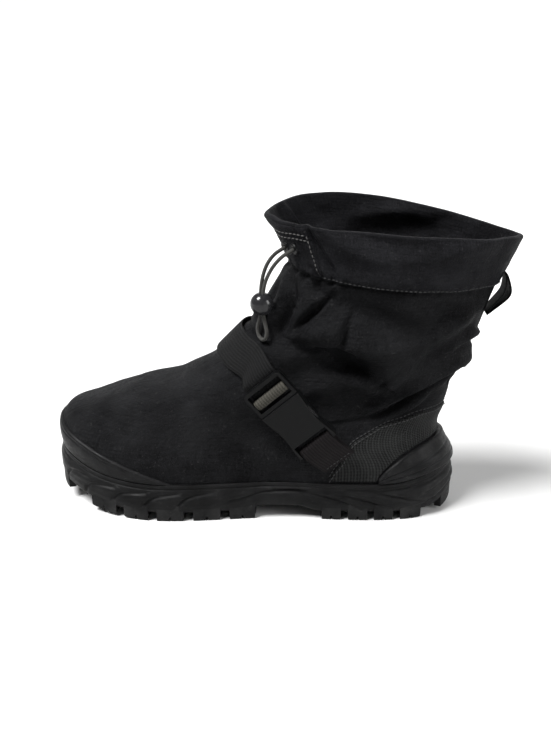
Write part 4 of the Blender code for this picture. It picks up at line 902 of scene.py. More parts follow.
class Look:
    """One procedural material, with short ways to add its nodes."""

    def __init__(self, name, roughness=0.6, specular=0.5, sheen=0.0, sheen_roughness=0.5, coat=0.0):
        self.material = bpy.data.materials.new(name)
        self.material.use_nodes = True
        self.tree = self.material.node_tree
        self.shader = self.tree.nodes["Principled BSDF"]
        self.shader.inputs["Roughness"].default_value = roughness
        self.shader.inputs["Specular IOR Level"].default_value = specular
        self.shader.inputs["Sheen Weight"].default_value = sheen
        self.shader.inputs["Sheen Roughness"].default_value = sheen_roughness
        self.shader.inputs["Coat Weight"].default_value = coat
        self.shader.inputs["Coat Roughness"].default_value = COAT_ROUGHNESS

    def node(self, kind, links=(), **values):
        made = self.tree.nodes.new(kind)
        for key, value in values.items():
            setattr(made, key, value)
        for place, source in links:
            if isinstance(source, bpy.types.NodeSocket):
                self.tree.links.new(source, made.inputs[place])
            else:
                made.inputs[place].default_value = source
        return made

    def place(self, stretch=(1.0, 1.0, 1.0), flat=False):
        """Coordinates in metres: in space, or flat on the cloth."""
        source = self.node("ShaderNodeUVMap", uv_map="flat").outputs[0] if flat else None
        if source is None:
            source = self.node("ShaderNodeTexCoord").outputs["Object"]
        return self.node("ShaderNodeMapping", [("Vector", source), ("Scale", stretch)]).outputs[0]

    def noise(self, place, size, detail=2.0, rough=0.5):
        return self.node("ShaderNodeTexNoise", [("Vector", place), ("Scale", 1.0 / size), ("Detail", detail),
                                                ("Roughness", rough)]).outputs[0]

    def maths(self, operation, first, second=0.0, third=0.0):
        return self.node("ShaderNodeMath", [(0, first), (1, second), (2, third)],
                         operation=operation).outputs[0]

    def between(self, value, low, high, to_low=0.0, to_high=1.0):
        return self.node("ShaderNodeMapRange", [(0, value), (1, low), (2, high),
                         (3, to_low), (4, to_high)]).outputs[0]

    def mix(self, share, first, second):
        made = self.node("ShaderNodeMix", data_type="RGBA")
        for place, value in ((0, share), (6, first), (7, second)):
            if isinstance(value, bpy.types.NodeSocket):
                self.tree.links.new(value, made.inputs[place])
            else:
                made.inputs[place].default_value = value if place == 0 else (*value, 1.0)
        return made.outputs[2]

    def waves(self, place, axis, pitch):
        """A wave of height -1 to 1 along one axis of the coordinates."""
        part = self.node("ShaderNodeSeparateXYZ", [(0, place)]).outputs[axis]
        return self.maths("SINE", self.maths("MULTIPLY", part, 2 * math.pi / pitch))

    def bump(self, height, depth, under=None):
        links = [("Height", height), ("Distance", depth), ("Strength", 1.0)]
        if under is not None:
            links.append(("Normal", under))
        return self.node("ShaderNodeBump", links).outputs[0]

    def set(self, name, source):
        if isinstance(source, bpy.types.NodeSocket):
            self.tree.links.new(source, self.shader.inputs[name])
        else:
            self.shader.inputs[name].default_value = (*source, 1.0) if name == "Base Color" else source


def woven_look(name, dark, light, pitch, dust=0.0):
    """Plain-woven coated cloth with slubs, a soft nap and a little dust."""
    look = Look(name, roughness=0.58, specular=0.03, sheen=0.0, sheen_roughness=0.4)
    flat = look.place(flat=True)
    space = look.place()
    patches = look.noise(space, 0.035, 3.0)
    slub = look.noise(look.place((1.0, 9.0, 1.0), flat=True), 0.012, 3.0)
    upright = look.noise(look.place((8.0, 1.0, 1.0), flat=True), 0.010, 3.0)
    tone = look.maths("ADD", look.maths("MULTIPLY", patches, 0.45), look.maths("MULTIPLY", slub, 0.30))
    tone = look.between(look.maths("ADD", tone, look.maths("MULTIPLY", upright, 0.25)), 0.38, 0.63)
    grain = look.noise(space, 0.0011, 2.0, 0.7)
    tone = look.maths("ADD", look.maths("MULTIPLY", tone, 0.55), look.between(grain, 0.30, 0.72, 0.0, 0.45))
    colour = look.mix(tone, dark, light)
    if dust:
        spots = look.between(look.noise(space, 0.0022, 2.0), 0.66, 0.78, 0.0, dust)
        colour = look.mix(spots, colour, (0.075, 0.074, 0.072))
    look.set("Base Color", colour)
    look.set("Roughness", look.between(slub, 0.3, 0.7, 0.50, 0.66))
    weave = look.maths("MULTIPLY", look.waves(flat, 0, pitch), look.waves(flat, 1, pitch))
    normal = look.bump(weave, 0.00018)
    normal = look.bump(grain, 0.00042, normal)
    normal = look.bump(look.maths("ADD", slub, upright), 0.00080, normal)
    look.set("Normal", look.bump(look.noise(space, 0.008, 4.0, 0.6), 0.0014, normal))
    return look.material


def mesh_look(name):
    """Coated knit with rows of small cells."""
    look = Look(name, roughness=0.60, specular=0.06, sheen=0.01)
    flat = look.place(flat=True)
    pitch = 0.0030
    first = look.waves(look.place((1.0, 0.58, 1.0), flat=True), 0, pitch)
    parts = look.node("ShaderNodeSeparateXYZ", [(0, flat)])
    slant_a = look.maths("ADD", parts.outputs[0], look.maths("MULTIPLY", parts.outputs[1], 1.15))
    slant_b = look.maths("SUBTRACT", parts.outputs[0], look.maths("MULTIPLY", parts.outputs[1], 1.15))
    turn = 2 * math.pi / pitch
    cells = look.maths("MULTIPLY", look.maths("SINE", look.maths("MULTIPLY", slant_a, turn)),
                       look.maths("SINE", look.maths("MULTIPLY", slant_b, turn)))
    cells = look.maths("ADD", cells, look.maths("MULTIPLY", first, 0.15))
    pit = look.between(cells, -0.6, 0.5)
    wear = look.between(look.noise(look.place(), 0.016, 4.0), 0.42, 0.70)
    colour = look.mix(pit, (0.0010, 0.0010, 0.0010), (0.0170, 0.0175, 0.0175))
    look.set("Base Color", look.mix(look.maths("MULTIPLY", wear, 0.25), colour, (0.024, 0.025, 0.024)))
    look.set("Roughness", look.between(pit, 0.0, 1.0, 0.74, 0.52))
    normal = look.bump(pit, 0.00050)
    look.set("Normal", look.bump(look.noise(look.place(), 0.007, 3.0), 0.0006, normal))
    return look.material


def rubber_look(name, dark, light, roughness, scuff):
    """Moulded rubber: fine grain, satin surface, dust in patches and pale scuffs."""
    look = Look(name, roughness=roughness, specular=0.08)
    space = look.place()
    patches = look.noise(space, 0.022, 4.0, 0.6)
    colour = look.mix(look.between(patches, 0.35, 0.68), dark, light)
    streaks = look.noise(look.place((1.0, 1.0, 3.2)), 0.0065, 5.0, 0.72)
    worn = look.maths("MULTIPLY", look.between(streaks, 0.57, 0.73), look.between(patches, 0.42, 0.62))
    colour = look.mix(look.maths("MULTIPLY", worn, scuff), colour, (0.060, 0.059, 0.057))
    specks = look.between(look.noise(space, 0.0011, 1.0), 0.72, 0.80, 0.0, 0.35 * scuff)
    look.set("Base Color", look.mix(specks, colour, (0.10, 0.098, 0.093)))
    look.set("Roughness", look.between(streaks, 0.35, 0.72, roughness - 0.10, roughness + 0.20))
    normal = look.bump(look.noise(space, 0.0007, 2.0), 0.00009)
    normal = look.bump(look.noise(space, 0.0035, 3.0), 0.00022, normal)
    look.set("Normal", look.bump(worn, 0.00012, normal))
    return look.material


def webbing_look(name, dark, light, pale_run=0.0):
    """Flat ribbed webbing. Where it is folded over its bar, up to pale_run along it, its threads are pale."""
    look = Look(name, roughness=0.74, specular=0.06, sheen=0.01)
    flat = look.place(flat=True)
    ribs = look.waves(flat, 1, 0.0023)
    picks = look.waves(flat, 0, 0.0011)
    slant = look.node("ShaderNodeSeparateXYZ", [(0, flat)])
    twill = look.maths("SINE", look.maths("MULTIPLY", look.maths("ADD", slant.outputs[0], slant.outputs[1]),
                                          2 * math.pi / 0.0016))
    height = look.maths("ADD", look.maths("MULTIPLY", ribs, 0.6), look.maths("MULTIPLY", picks, 0.3))
    height = look.maths("ADD", height, look.maths("MULTIPLY", twill, 0.35))
    fuzz = look.noise(flat, 0.0018, 3.0)
    colour = look.mix(look.between(look.maths("ADD", height, fuzz), -0.4, 1.6), dark, light)
    if pale_run:
        pale = look.mix(look.between(height, -1.0, 1.0), (0.018, 0.017, 0.014), (0.058, 0.055, 0.047))
        colour = look.mix(look.between(slant.outputs[0], pale_run, pale_run + 0.0008, 1.0, 0.0), colour, pale)
    look.set("Base Color", colour)
    look.set("Roughness", look.between(fuzz, 0.3, 0.7, 0.62, 0.84))
    normal = look.bump(height, 0.00016)
    look.set("Normal", look.bump(look.noise(look.place(), 0.010, 2.0), 0.0006, normal))
    return look.material


def plastic_look(name, colour, roughness, grain, coat=0.0):
    """Moulded plastic with a fine spark texture and faint handling marks."""
    look = Look(name, roughness=roughness, specular=0.11, coat=coat)
    space = look.place()
    marks = look.noise(look.place((3.5, 1.0, 1.0)), 0.004, 5.0, 0.7)
    light = tuple(2.1 * c for c in colour)
    look.set("Base Color", look.mix(look.between(marks, 0.55, 0.80, 0.0, 0.6), colour, light))
    look.set("Roughness", look.between(marks, 0.3, 0.7, roughness - 0.06, roughness + 0.10))
    look.set("Normal", look.bump(look.noise(space, 0.00055, 2.0), grain))
    return look.material


def braid_look(name):
    """Braided elastic cord: crossed strands over a grey core."""
    look = Look(name, roughness=0.66, specular=0.25, sheen=0.05)
    parts = look.node("ShaderNodeSeparateXYZ", [(0, look.place(flat=True))])
    turn = 2 * math.pi / 0.0016
    right = look.maths("SINE", look.maths("MULTIPLY",
                       look.maths("ADD", parts.outputs[0], parts.outputs[1]), turn))
    left = look.maths("SINE", look.maths("MULTIPLY",
                      look.maths("SUBTRACT", parts.outputs[0], parts.outputs[1]), turn))
    strands = look.maths("MAXIMUM", right, left)
    flecks = look.between(look.maths("MULTIPLY", right, left), 0.1, 0.8)
    colour = look.mix(flecks, (0.014, 0.014, 0.013), (0.060, 0.058, 0.052))
    look.set("Base Color", colour)
    look.set("Roughness", look.between(strands, -0.5, 1.0, 0.78, 0.58))
    look.set("Normal", look.bump(strands, 0.00016))
    return look.material


def thread_look(name, dark, light):
    look = Look(name, roughness=0.62, specular=0.25, sheen=0.04)
    twist = look.noise(look.place(), 0.0008, 3.0)
    look.set("Base Color", look.mix(look.between(twist, 0.3, 0.7), dark, light))
    look.set("Roughness", look.between(twist, 0.3, 0.7, 0.55, 0.75))
    look.set("Normal", look.bump(twist, 0.00008))
    return look.material


def lining_look(name):
    """Brushed lining with a short nap."""
    look = Look(name, roughness=0.92, specular=0.04, sheen=0.02, sheen_roughness=0.6)
    nap = look.noise(look.place(), 0.0012, 4.0, 0.7)
    folds = look.noise(look.place(), 0.028, 3.0)
    tone = look.between(look.maths("ADD", nap, folds), 0.75, 1.25)
    look.set("Base Color", look.mix(tone, (0.0040, 0.0042, 0.0046), (0.0120, 0.0123, 0.0136)))
    look.set("Roughness", look.between(nap, 0.3, 0.7, 0.84, 0.97))
    look.set("Normal", look.bump(nap, 0.00045))
    return look.material


def floor_look():
    look = Look("studio_floor", roughness=0.85, specular=0.15)
    grain = look.noise(look.place(), 0.05, 2.0)
    look.set("Base Color", look.mix(grain, (0.50, 0.50, 0.498), (0.53, 0.53, 0.528)))
    look.set("Roughness", look.between(grain, 0.3, 0.7, 0.80, 0.90))
    look.set("Normal", look.bump(grain, 0.0001))
    return look.material


# The photograph's place of view, where the camera looks, and the width it takes in
CAMERA_PLACE = (-0.0538, -0.6637, 0.3393)
CAMERA_AIM = (-0.097, 0.000, 0.110)
CAMERA_LENS = 58.0
SENSOR_WIDTH = 36.0


# Light of the surroundings and of the soft sun, the way that it shines and its size. Two lamps: place, width,
# height and power. Where they aim, and the floor with its curved edge
WORLD_LIGHT = 0.08
SUN_LIGHT = 8.2
SUN_WAY = (0.62, 0.34, -1.15)
SUN_SIZE = math.radians(26)
SIDE_LIGHT = ((1.30, -0.55, 0.75), 0.6, 0.9, 14.0)
RIM_LIGHT = ((0.30, 1.30, 1.10), 1.2, 0.5, 12.0)
MIDDLE = (-0.09, 0.0, 0.12)
FLOOR_REACH = 3.0
BOWL_CURVE = 2.5
BOWL_HEIGHT = 4.0


def make_camera():
    data = bpy.data.cameras.new("camera")
    data.sensor_fit = "HORIZONTAL"
    data.sensor_width = SENSOR_WIDTH
    data.lens = CAMERA_LENS
    data.clip_start = 0.01
    data.clip_end = 60.0
    camera = bpy.data.objects.new("camera", data)
    bpy.context.scene.collection.objects.link(camera)
    camera.location = CAMERA_PLACE
    camera.rotation_euler = (Vector(CAMERA_AIM) - Vector(CAMERA_PLACE)).to_track_quat("-Z", "Y").to_euler()
    bpy.context.scene.camera = camera


def soft_light(name, place, width, height, power):
    data = bpy.data.lights.new(name, "AREA")
    data.shape = "RECTANGLE"
    data.size = width
    data.size_y = height
    data.energy = power
    light = bpy.data.objects.new(name, data)
    bpy.context.scene.collection.objects.link(light)
    light.location = place
    light.rotation_euler = (Vector(MIDDLE) - Vector(place)).to_track_quat("-Z", "Y").to_euler()


def make_studio():
    """White surroundings, soft lights and a pale floor that curves up far away all round."""
    world = bpy.data.worlds.new("studio")
    bpy.context.scene.world = world
    world.use_nodes = True
    world.node_tree.nodes["Background"].inputs[0].default_value = (1.0, 1.0, 1.0, 1.0)
    world.node_tree.nodes["Background"].inputs[1].default_value = WORLD_LIGHT
    sun = bpy.data.lights.new("soft_sun", "SUN")
    sun.energy = SUN_LIGHT
    sun.angle = SUN_SIZE
    lamp = bpy.data.objects.new("soft_sun", sun)
    bpy.context.scene.collection.objects.link(lamp)
    lamp.rotation_euler = Vector(SUN_WAY).to_track_quat("-Z", "Y").to_euler()
    soft_light("side", *SIDE_LIGHT)
    soft_light("rim", *RIM_LIGHT)
    bpy.context.scene.view_settings.view_transform = "Standard"
    turns = np.linspace(0, 2 * np.pi, 97)[:-1]
    curve = np.linspace(0, np.pi / 2, 13)
    section = [(0.02, 0.0), (1.0, 0.0)]
    section += [(FLOOR_REACH + BOWL_CURVE * math.sin(t), BOWL_CURVE * (1 - math.cos(t))) for t in curve]
    section.append((FLOOR_REACH + BOWL_CURVE, BOWL_HEIGHT))
    grid = np.array([[(r * math.cos(t), r * math.sin(t), z) for t in turns] for r, z in section])
    faces = grid_faces(len(section), len(turns), True)[:, ::-1].tolist() + [list(range(len(turns)))]
    mesh_object("floor", grid.reshape(-1, 3), faces, floor_look(), angle=math.radians(80))


def tube(name, path, radius, sides, material):
    """A round tube along a path, with flat places along and round it."""
    path = np.array(path)
    forward = unit_rows(np.gradient(path, axis=0))
    side = unit_rows(np.cross(forward[0], (0.31, 0.52, 0.79)))
    rows = []
    for run in forward:
        side = unit_rows(side - run * (side @ run))
        rows.append((side, np.cross(run, side)))
    turns = np.linspace(0, 2 * np.pi, sides, endpoint=False)
    rings = [p + radius * (np.cos(turns)[:, None] * a + np.sin(turns)[:, None] * b)
             for p, (a, b) in zip(path, rows)]
    length = lengths_along(path)
    flat = np.stack(np.broadcast_arrays(length[:, None],
                                        np.linspace(0, 2 * np.pi * radius, sides + 1)[None, :]), -1)
    count = len(path)
    faces = grid_faces(count, sides, True).tolist()
    corners = grid_corners(flat, count, sides, True).tolist()
    faces += [list(range(sides))[::-1], [(count - 1) * sides + j for j in range(sides)]]
    corners += [[0.0, 0.0]] * (2 * sides)
    return mesh_object(name, np.concatenate(rings), faces, material, corners)


def make_drawcord(braid, plastic):
    """The elastic cord through its eyelets and ball lock."""
    origin, out, aside, ahead = cord_frame()
    places = np.array(CORD_ROUTE[1:])
    half = places @ np.array([out, ahead, aside, UP])
    other = places @ np.array([out, ahead, -aside, UP])
    route = origin + np.concatenate([half, other[::-1][1:]])
    run = lengths_along(route)
    at = np.linspace(0, run[-1], 150)
    path = np.column_stack([smooth_lookup(run, route[:, c], at) for c in range(3)])
    cord = tube("drawcord_braid", path, CORD_DIAMETER / 2, 14, braid)
    hang(cord, "drawcord", "drawcord")
    centre = origin + np.array(LOCK_PLACE) @ np.array([out, ahead, UP])
    lock = make_ball_lock(centre, aside, plastic)


def make_ball_lock(centre, aside, plastic):
    """A turned ball. Its section runs from the bore's rounded mouth over the ball, with a parting line."""
    ball = LOCK_DIAMETER / 2
    bore_wide = STRAND_SPACING / 2 + CORD_DIAMETER / 2 + CLEARANCE
    bore_deep = CORD_DIAMETER / 2 + CLEARANCE
    sides = 64
    turns = np.linspace(0, 2 * np.pi, sides, endpoint=False)
    mouth = math.asin(bore_wide / ball) * 1.12
    rings = []
    for angle in np.linspace(math.pi / 2 - mouth, -(math.pi / 2 - mouth), 41):
        dent = 0.00018 * math.exp(-((angle / 0.025) ** 2))
        radius = (ball - dent) * math.cos(angle)
        rings.append(np.column_stack([radius * np.cos(turns), radius * np.sin(turns),
                                      np.full(sides, (ball - dent) * math.sin(angle))]))
    top = rings[0][0, 2]
    bore = np.column_stack([bore_wide * np.cos(turns), bore_deep * np.sin(turns), np.full(sides, top)])
    edge = rings[0] * 0.35 + bore * 0.65
    edge[:, 2] = top + 0.0001
    down = bore.copy()
    down[:, 2] = top - 0.0012
    low_edge, low_bore, low_down = edge * (1, 1, -1), bore * (1, 1, -1), down * (1, 1, -1)
    grid = np.stack([down, bore, edge] + rings + [low_edge, low_bore, low_down])
    axes = np.array([aside, np.cross(UP, aside), UP])
    grid = centre + grid @ axes
    faces = grid_faces(len(grid), sides, True)
    lock = mesh_object("cord_lock_ball", grid.reshape(-1, 3), faces[:, ::-1], plastic)
    return hang(lock, "lock_plastic", "cord_lock")


# Where the shaft's closer rows start, how far the cloth goes up under the cuff, and where the lining ends
FOOT_LEVEL = 0.30
UNDER_CUFF = 0.03
LINING_TOP = 0.86


def make_upper(cloth, lining):
    """The fabric body with its listed creases, and the brushed lining inside it."""
    around = np.linspace(0, 1, 324, endpoint=False)
    foot = np.linspace(0, FOOT_LEVEL, 50)[:-1]
    level = np.concatenate([foot, np.linspace(FOOT_LEVEL, CUFF_SEAM_LEVEL + UNDER_CUFF, 172)])
    grid = soft_points(around[None, :], level[:, None])
    upper = grid_object("upper_cloth", grid, flat_places(around, grid, True), cloth, True)
    hang(upper, "shaft_fabric", "upper")
    around = np.linspace(0, 1, 140, endpoint=False)
    level = np.linspace(0, LINING_TOP, 96)
    inside = soft_points(around[None, :], level[:, None], -UPPER_WALL, 0.8)
    under = grid_object("lining_cloth", inside[:, ::-1],
                        flat_places(around, inside, True)[:, ::-1], lining, True)
    hang(under, "lining")


# The cuff's hem inside the collar
HEM_THICKNESS = 0.0006
HEM_LEVEL = 0.84


def make_cuff(cloth):
    """The doubled band: sewn seam, outer face, rolled top edge and the hem inside."""
    around = np.linspace(0, 1, 420, endpoint=False)
    thick = CUFF_THICKNESS + CLEARANCE
    hem = -UPPER_WALL - HEM_THICKNESS
    rows = [(CUFF_SEAM_LEVEL, -0.0002, 0.0), (CUFF_SEAM_LEVEL + 0.001, 0.5 * thick, 0.0),
            (CUFF_SEAM_LEVEL + 0.003, 0.85 * thick, 0.0), (CUFF_SEAM_LEVEL + 0.006, thick, 0.0)]
    rows += [(v, thick, 0.0) for v in np.linspace(CUFF_SEAM_LEVEL + 0.010, 0.996, 46)]
    middle = (thick + hem) / 2
    radius = (thick - hem) / 2
    rows += [(1.0, middle + radius * math.cos(t), radius * math.sin(t) * 0.8)
             for t in np.linspace(0, math.pi, 11)]
    rows += [(v, hem, 0.0) for v in np.linspace(0.992, HEM_LEVEL, 22)]
    rows += [(HEM_LEVEL - 0.002, hem + 0.0004, 0.0), (HEM_LEVEL - 0.003, -UPPER_WALL + 0.0002, 0.0)]
    lines = []
    for level, out, lift in rows:
        line = soft_points(around, level, out, 1.0)
        if lift:
            rise = unit_rows(upper_base(around, 1.0)[0] - upper_base(around, 0.97)[0])
            line = line + rise * lift
        lines.append(line)
    grid = np.array(lines)
    run = lengths_along(grid[:, 0])
    turn = np.append(around, 1.0) * SHAFT_GIRTH
    flat = np.stack(np.broadcast_arrays(turn[None, :], run[:, None]), -1)
    hang(grid_object("cuff_band", grid, flat, cloth, True), "shaft_fabric", "cuff")


def make_placket(cloth):
    """The flap over the cuff's front, with rounded edges."""
    reach = PLACKET_WIDTH / SHAFT_GIRTH / 2
    around = np.linspace(PLACKET_CENTRE - reach, PLACKET_CENTRE + reach, 60)
    low = np.full(around.shape, CUFF_SEAM_LEVEL + 0.004)
    high = np.full(around.shape, 1.0)
    seat = 2 * CLEARANCE + CUFF_THICKNESS
    piece = shell("placket_flap", around, low, high, seat, PLACKET_THICKNESS, 60,
                  "shaft_fabric", cloth, sides=True)
    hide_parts("placket")
    return seat + PLACKET_THICKNESS + CLEARANCE


def counter_top(around):
    """Levels of the heel counter's upper edge."""
    rim = rim_levels(around, OVERLAY_GAP)
    t = np.clip(np.abs(from_back(around)) / COUNTER_REACH, 0, 1)
    height = RIM_HEIGHT + (COUNTER_HEIGHT - RIM_HEIGHT) * np.sqrt(1 - t**2)
    return np.where(t < 1, np.maximum(rim, level_at_height(around, height)), rim)


def rim_levels(around, gap):
    """The upper's levels at a gap above the sole's rim."""
    rim = rim_height(station(sole_outline(around, np.zeros(around.shape))[:, 0]))
    return level_at_height(around, rim + gap)


def from_back(around):
    """Distance around from the heel's back, with its sign: positive on the medial side."""
    return np.mod(np.asarray(around) + 0.5, 1.0) - 0.5


# The counter's lines: share of its height and depth, then their size, and the spur up its back
CAP_GAP = 0.0015
COUNTER_LINES = ((0.30, 1.0), (0.55, 0.8))
COUNTER_LINE_WIDTH = 0.035
COUNTER_LINE_DEPTH = 0.0007
SPUR_WIDTH = 0.022
SPUR_RISE = (0.45, 0.9)
SPUR_HEIGHT = 0.0010

# The bumper's line: share of its height, size, and how far from the ends it fades
CAP_LINE = 0.80
CAP_LINE_WIDTH = 0.030
CAP_LINE_DEPTH = 0.0006
CAP_LINE_FADE = 0.05


def make_moulded_caps(rubber):
    """The heel counter and the toe bumper."""
    around = np.linspace(-COUNTER_REACH + CAP_GAP, COUNTER_REACH - CAP_GAP, 190)
    low = rim_levels(np.mod(around, 1.0), 0.0)
    high = np.maximum(counter_top(np.mod(around, 1.0)), low + 0.001)

    def counter_relief(turn, share):
        lines = sum(deep * bell(share, up, COUNTER_LINE_WIDTH) for up, deep in COUNTER_LINES)
        spur = bell(turn, 0.0, SPUR_WIDTH) * smooth_step(*SPUR_RISE, share)
        return SPUR_HEIGHT * spur - COUNTER_LINE_DEPTH * lines

    piece = shell("heel_counter_shell", around, low, high, 0.0, COUNTER_THICKNESS, 40, "cap_rubber", rubber,
                  relief=counter_relief)
    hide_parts("heel_counter")
    reach = TOE_CAP_REACH - CAP_GAP
    around = np.linspace(TOE_CAP_CENTRE - reach, TOE_CAP_CENTRE + reach, 260)
    low = rim_levels(around, 0.0)
    t = np.clip(np.abs(around - TOE_CAP_CENTRE) / TOE_CAP_REACH, 0, 1)
    height = RIM_HEIGHT + (TOE_CAP_HEIGHT - RIM_HEIGHT) * np.cos(t * math.pi / 2)
    high = np.maximum(low + 0.001, level_at_height(around, height))

    def cap_relief(turn, share):
        inside = TOE_CAP_REACH - np.abs(turn - TOE_CAP_CENTRE)
        line = bell(share, CAP_LINE, CAP_LINE_WIDTH)
        return -CAP_LINE_DEPTH * line * smooth_step(0.0, CAP_LINE_FADE, inside)

    piece = shell("toe_cap_shell", around, low, high, 0.0, TOE_CAP_THICKNESS, 44, "cap_rubber", rubber,
                  relief=cap_relief)
    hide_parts("toe_cap")


# How far round the side panels may reach
PANEL_REACH = 0.30


def quarter_edges(side):
    """Where one quarter panel lies: places around, and the levels of its lower and upper edges."""
    around = np.linspace(BACK_SEAM, PANEL_REACH, 700)
    around = around if side > 0 else 1 - around[::-1]
    along = station(upper_base(around, np.full(around.shape, 0.15))[0][:, 0])
    up = np.interp(along, column(QUARTER_SEAM, "along"), column(QUARTER_SEAM, "up"))
    high = level_at_height(around, up * BOOT_HEIGHT)
    gap = OVERLAY_GAP / BOOT_HEIGHT
    low = np.maximum(rim_levels(around, 0.0), counter_top(around) + 3 * gap)
    there = (high > low + 0.004) & (along < QUARTER_SEAM[-1][0])
    return around[there], low[there], high[there]


def make_quarters(mesh):
    """The coated side panels. Returns each one's upper edge for its stitches."""
    edges = {}
    for name, side in (("quarter_lateral", -1), ("quarter_medial", 1)):
        around, low, high = quarter_edges(side)
        keep = np.unique(np.linspace(0, len(around) - 1, 200).astype(int))
        around, low, high = around[keep], low[keep], high[keep]
        piece = shell(name + "_panel", around, low, high, 0.0, QUARTER_THICKNESS, 40, "coated_mesh", mesh)
        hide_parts(name)
        edges[side] = (around, high)
    return edges


def band(name, centres, sides, width, thickness, rows, slot, material, node):
    """Flat webbing with rounded edges along a smooth line; flat places run along and across it."""
    centres, sides = np.array(centres), np.array(sides)
    run = lengths_along(centres)
    at = np.unique(np.concatenate([np.linspace(0, run[-1], rows), run]))
    centre = np.column_stack([smooth_lookup(run, centres[:, c], at) for c in range(3)])
    side = unit_rows(np.column_stack([np.interp(at, run, sides[:, c]) for c in range(3)]))
    out = unit_rows(np.cross(np.gradient(centre, axis=0), side))
    turns = np.linspace(0, 2 * np.pi, 29)
    across = np.sign(np.cos(turns)) * np.abs(np.cos(turns)) ** 0.45 * width / 2
    depth = np.sign(np.sin(turns)) * np.abs(np.sin(turns)) ** 0.55 * thickness / 2
    grid = centre[:, None] + across[:, None] * side[:, None] + depth[:, None] * out[:, None]
    flat = np.stack(np.broadcast_arrays(at[:, None], across[None, :]), -1)
    return hang(grid_object(name, grid, flat, material), slot, *([node] if node else []))


def make_straps(cloud, origin, axes, lower, upper, loop_cloth, thread):
    """Webbing of the buckle's body, of its frame and over the instep, and the loop at the back."""
    along, across, normal = axes
    foot = -STRAP_TAIL
    layer = WEBBING_THICKNESS / 2
    lift = rest_height(cloud, origin + foot * along, axes, 0.004, WEBBING_WIDTH / 2)
    first = lift + CLEARANCE + layer
    second = first + WEBBING_THICKNESS + CLEARANCE
    wrap = bar_wrap(0.0, 1)
    near = -WEBBING_THICKNESS
    path = [(foot, 0.0, first), (near, 0.0, wrap[0][1])] + [(x, 0.0, z) for x, z in wrap]
    path += [(near, 0.0, wrap[-1][1]), (foot, 0.0, second)]
    band("strap_lateral_webbing", to_world(path, origin, axes), [across] * len(path), WEBBING_WIDTH,
         WEBBING_THICKNESS, 80, "webbing", lower, "strap_lateral")
    rows = []
    for step in TACK_STEPS:
        height = second + (wrap[-1][1] - second) * step / (near - foot) + layer
        line = [(foot + step, y, height) for y in np.linspace(-0.43, 0.43, 30) * WEBBING_WIDTH]
        rows.append(stitches(to_world(line, origin, axes), [normal] * len(line)))
    bar = BODY_LENGTH + CLEARANCE + RAIL_WIDTH + FRAME_SLOT
    end = BODY_LENGTH + FRAME_LENGTH
    up = bar_wrap(bar, 1)
    down = bar_wrap(bar, -1)[::-1]
    below = FRAME_LOW - CLEARANCE - layer
    start = [(bar + BAR_WIDTH - 0.001, down[-1][1])] + down[::-1] + up[::-1][:3]
    start += [(end - RAIL_WIDTH / 2, below), (end + 0.002, below)]
    centres = [to_world((x, 0.0, z), origin, axes) for x, z in start]
    sides = [across] * len(start)
    places = []
    for flank, length_share, height_share in STRAP_ROUTE[1:]:
        front = float(level_at_height(np.array([0.5]), height_share * BOOT_HEIGHT)[0])
        places.append(place_on_side(length_share, height_share, flank) if flank else (0.5, front))
    knots = np.arange(len(places), dtype=float)
    at = np.linspace(0, knots[-1], 15)
    around = smooth_lookup(knots, np.array([p[0] for p in places]), at)
    level = smooth_lookup(knots, np.array([p[1] for p in places]), at)
    surface = upper_points(around, level)
    normals = normals_of(upper_folded, around, level)
    for place, out, run in zip(surface, normals, np.gradient(surface, axis=0)):
        run = unit(run)
        side = unit(np.cross(out, run))
        out = np.cross(run, side)
        lift = rest_height(cloud, place, np.array([run, side, out]), 0.004, WEBBING_WIDTH / 2)
        centres.append(place + out * (lift + STRAP_STANDOFF + layer))
        sides.append(side)
    band("strap_front_webbing", centres, sides, WEBBING_WIDTH, WEBBING_THICKNESS, 200, "webbing", upper,
         "strap_front")
    last, aside = centres[-1], sides[-1]
    back = unit(centres[-2] - last)
    for step in TACK_STEPS:
        line = [last + back * step + aside * y for y in np.linspace(-0.43, 0.43, 30) * WEBBING_WIDTH]
        out = unit(np.cross(aside, back))
        out = out if out[1] > 0 else -out
        rows.append(stitches(np.array(line) + out * layer, [out] * len(line)))
    thread_object("strap_thread", rows, "webbing", thread)
    at = np.linspace(0, 1, 25)
    level = LOOP_LEVELS[0] + (LOOP_LEVELS[1] - LOOP_LEVELS[0]) * at
    seat = (CUFF_THICKNESS + 2 * CLEARANCE) * smooth_step(1.0, 0.45, at) + layer
    out = seat + LOOP_BULGE * np.sin(np.pi * at) ** 0.9
    band("pull_loop_webbing", [upper_points(0.0, v, o) for v, o in zip(level, out)], [ACROSS] * len(at),
         LOOP_WIDTH, WEBBING_THICKNESS, 70, "webbing", loop_cloth, "pull_loop")
    inner = seat + 0.45 * LOOP_BULGE * np.sin(np.pi * at)
    band("pull_loop_fold", [upper_points(0.0, v, o) for v, o in zip(level[1:-1], inner[1:-1])], [ACROSS] * 23,
         0.9 * LOOP_WIDTH, WEBBING_THICKNESS, 60, "webbing", loop_cloth, None)


# A stitch: distance from one to the next, length, thickness, and its section as places along it with their girth
STITCH_PITCH = 0.0034
STITCH_LENGTH = 0.0024
STITCH_THICKNESS = 0.00042
STITCH_SECTION = ((-0.5, 0.15), (-0.36, 0.8), (0.0, 1.0), (0.36, 0.8), (0.5, 0.15))


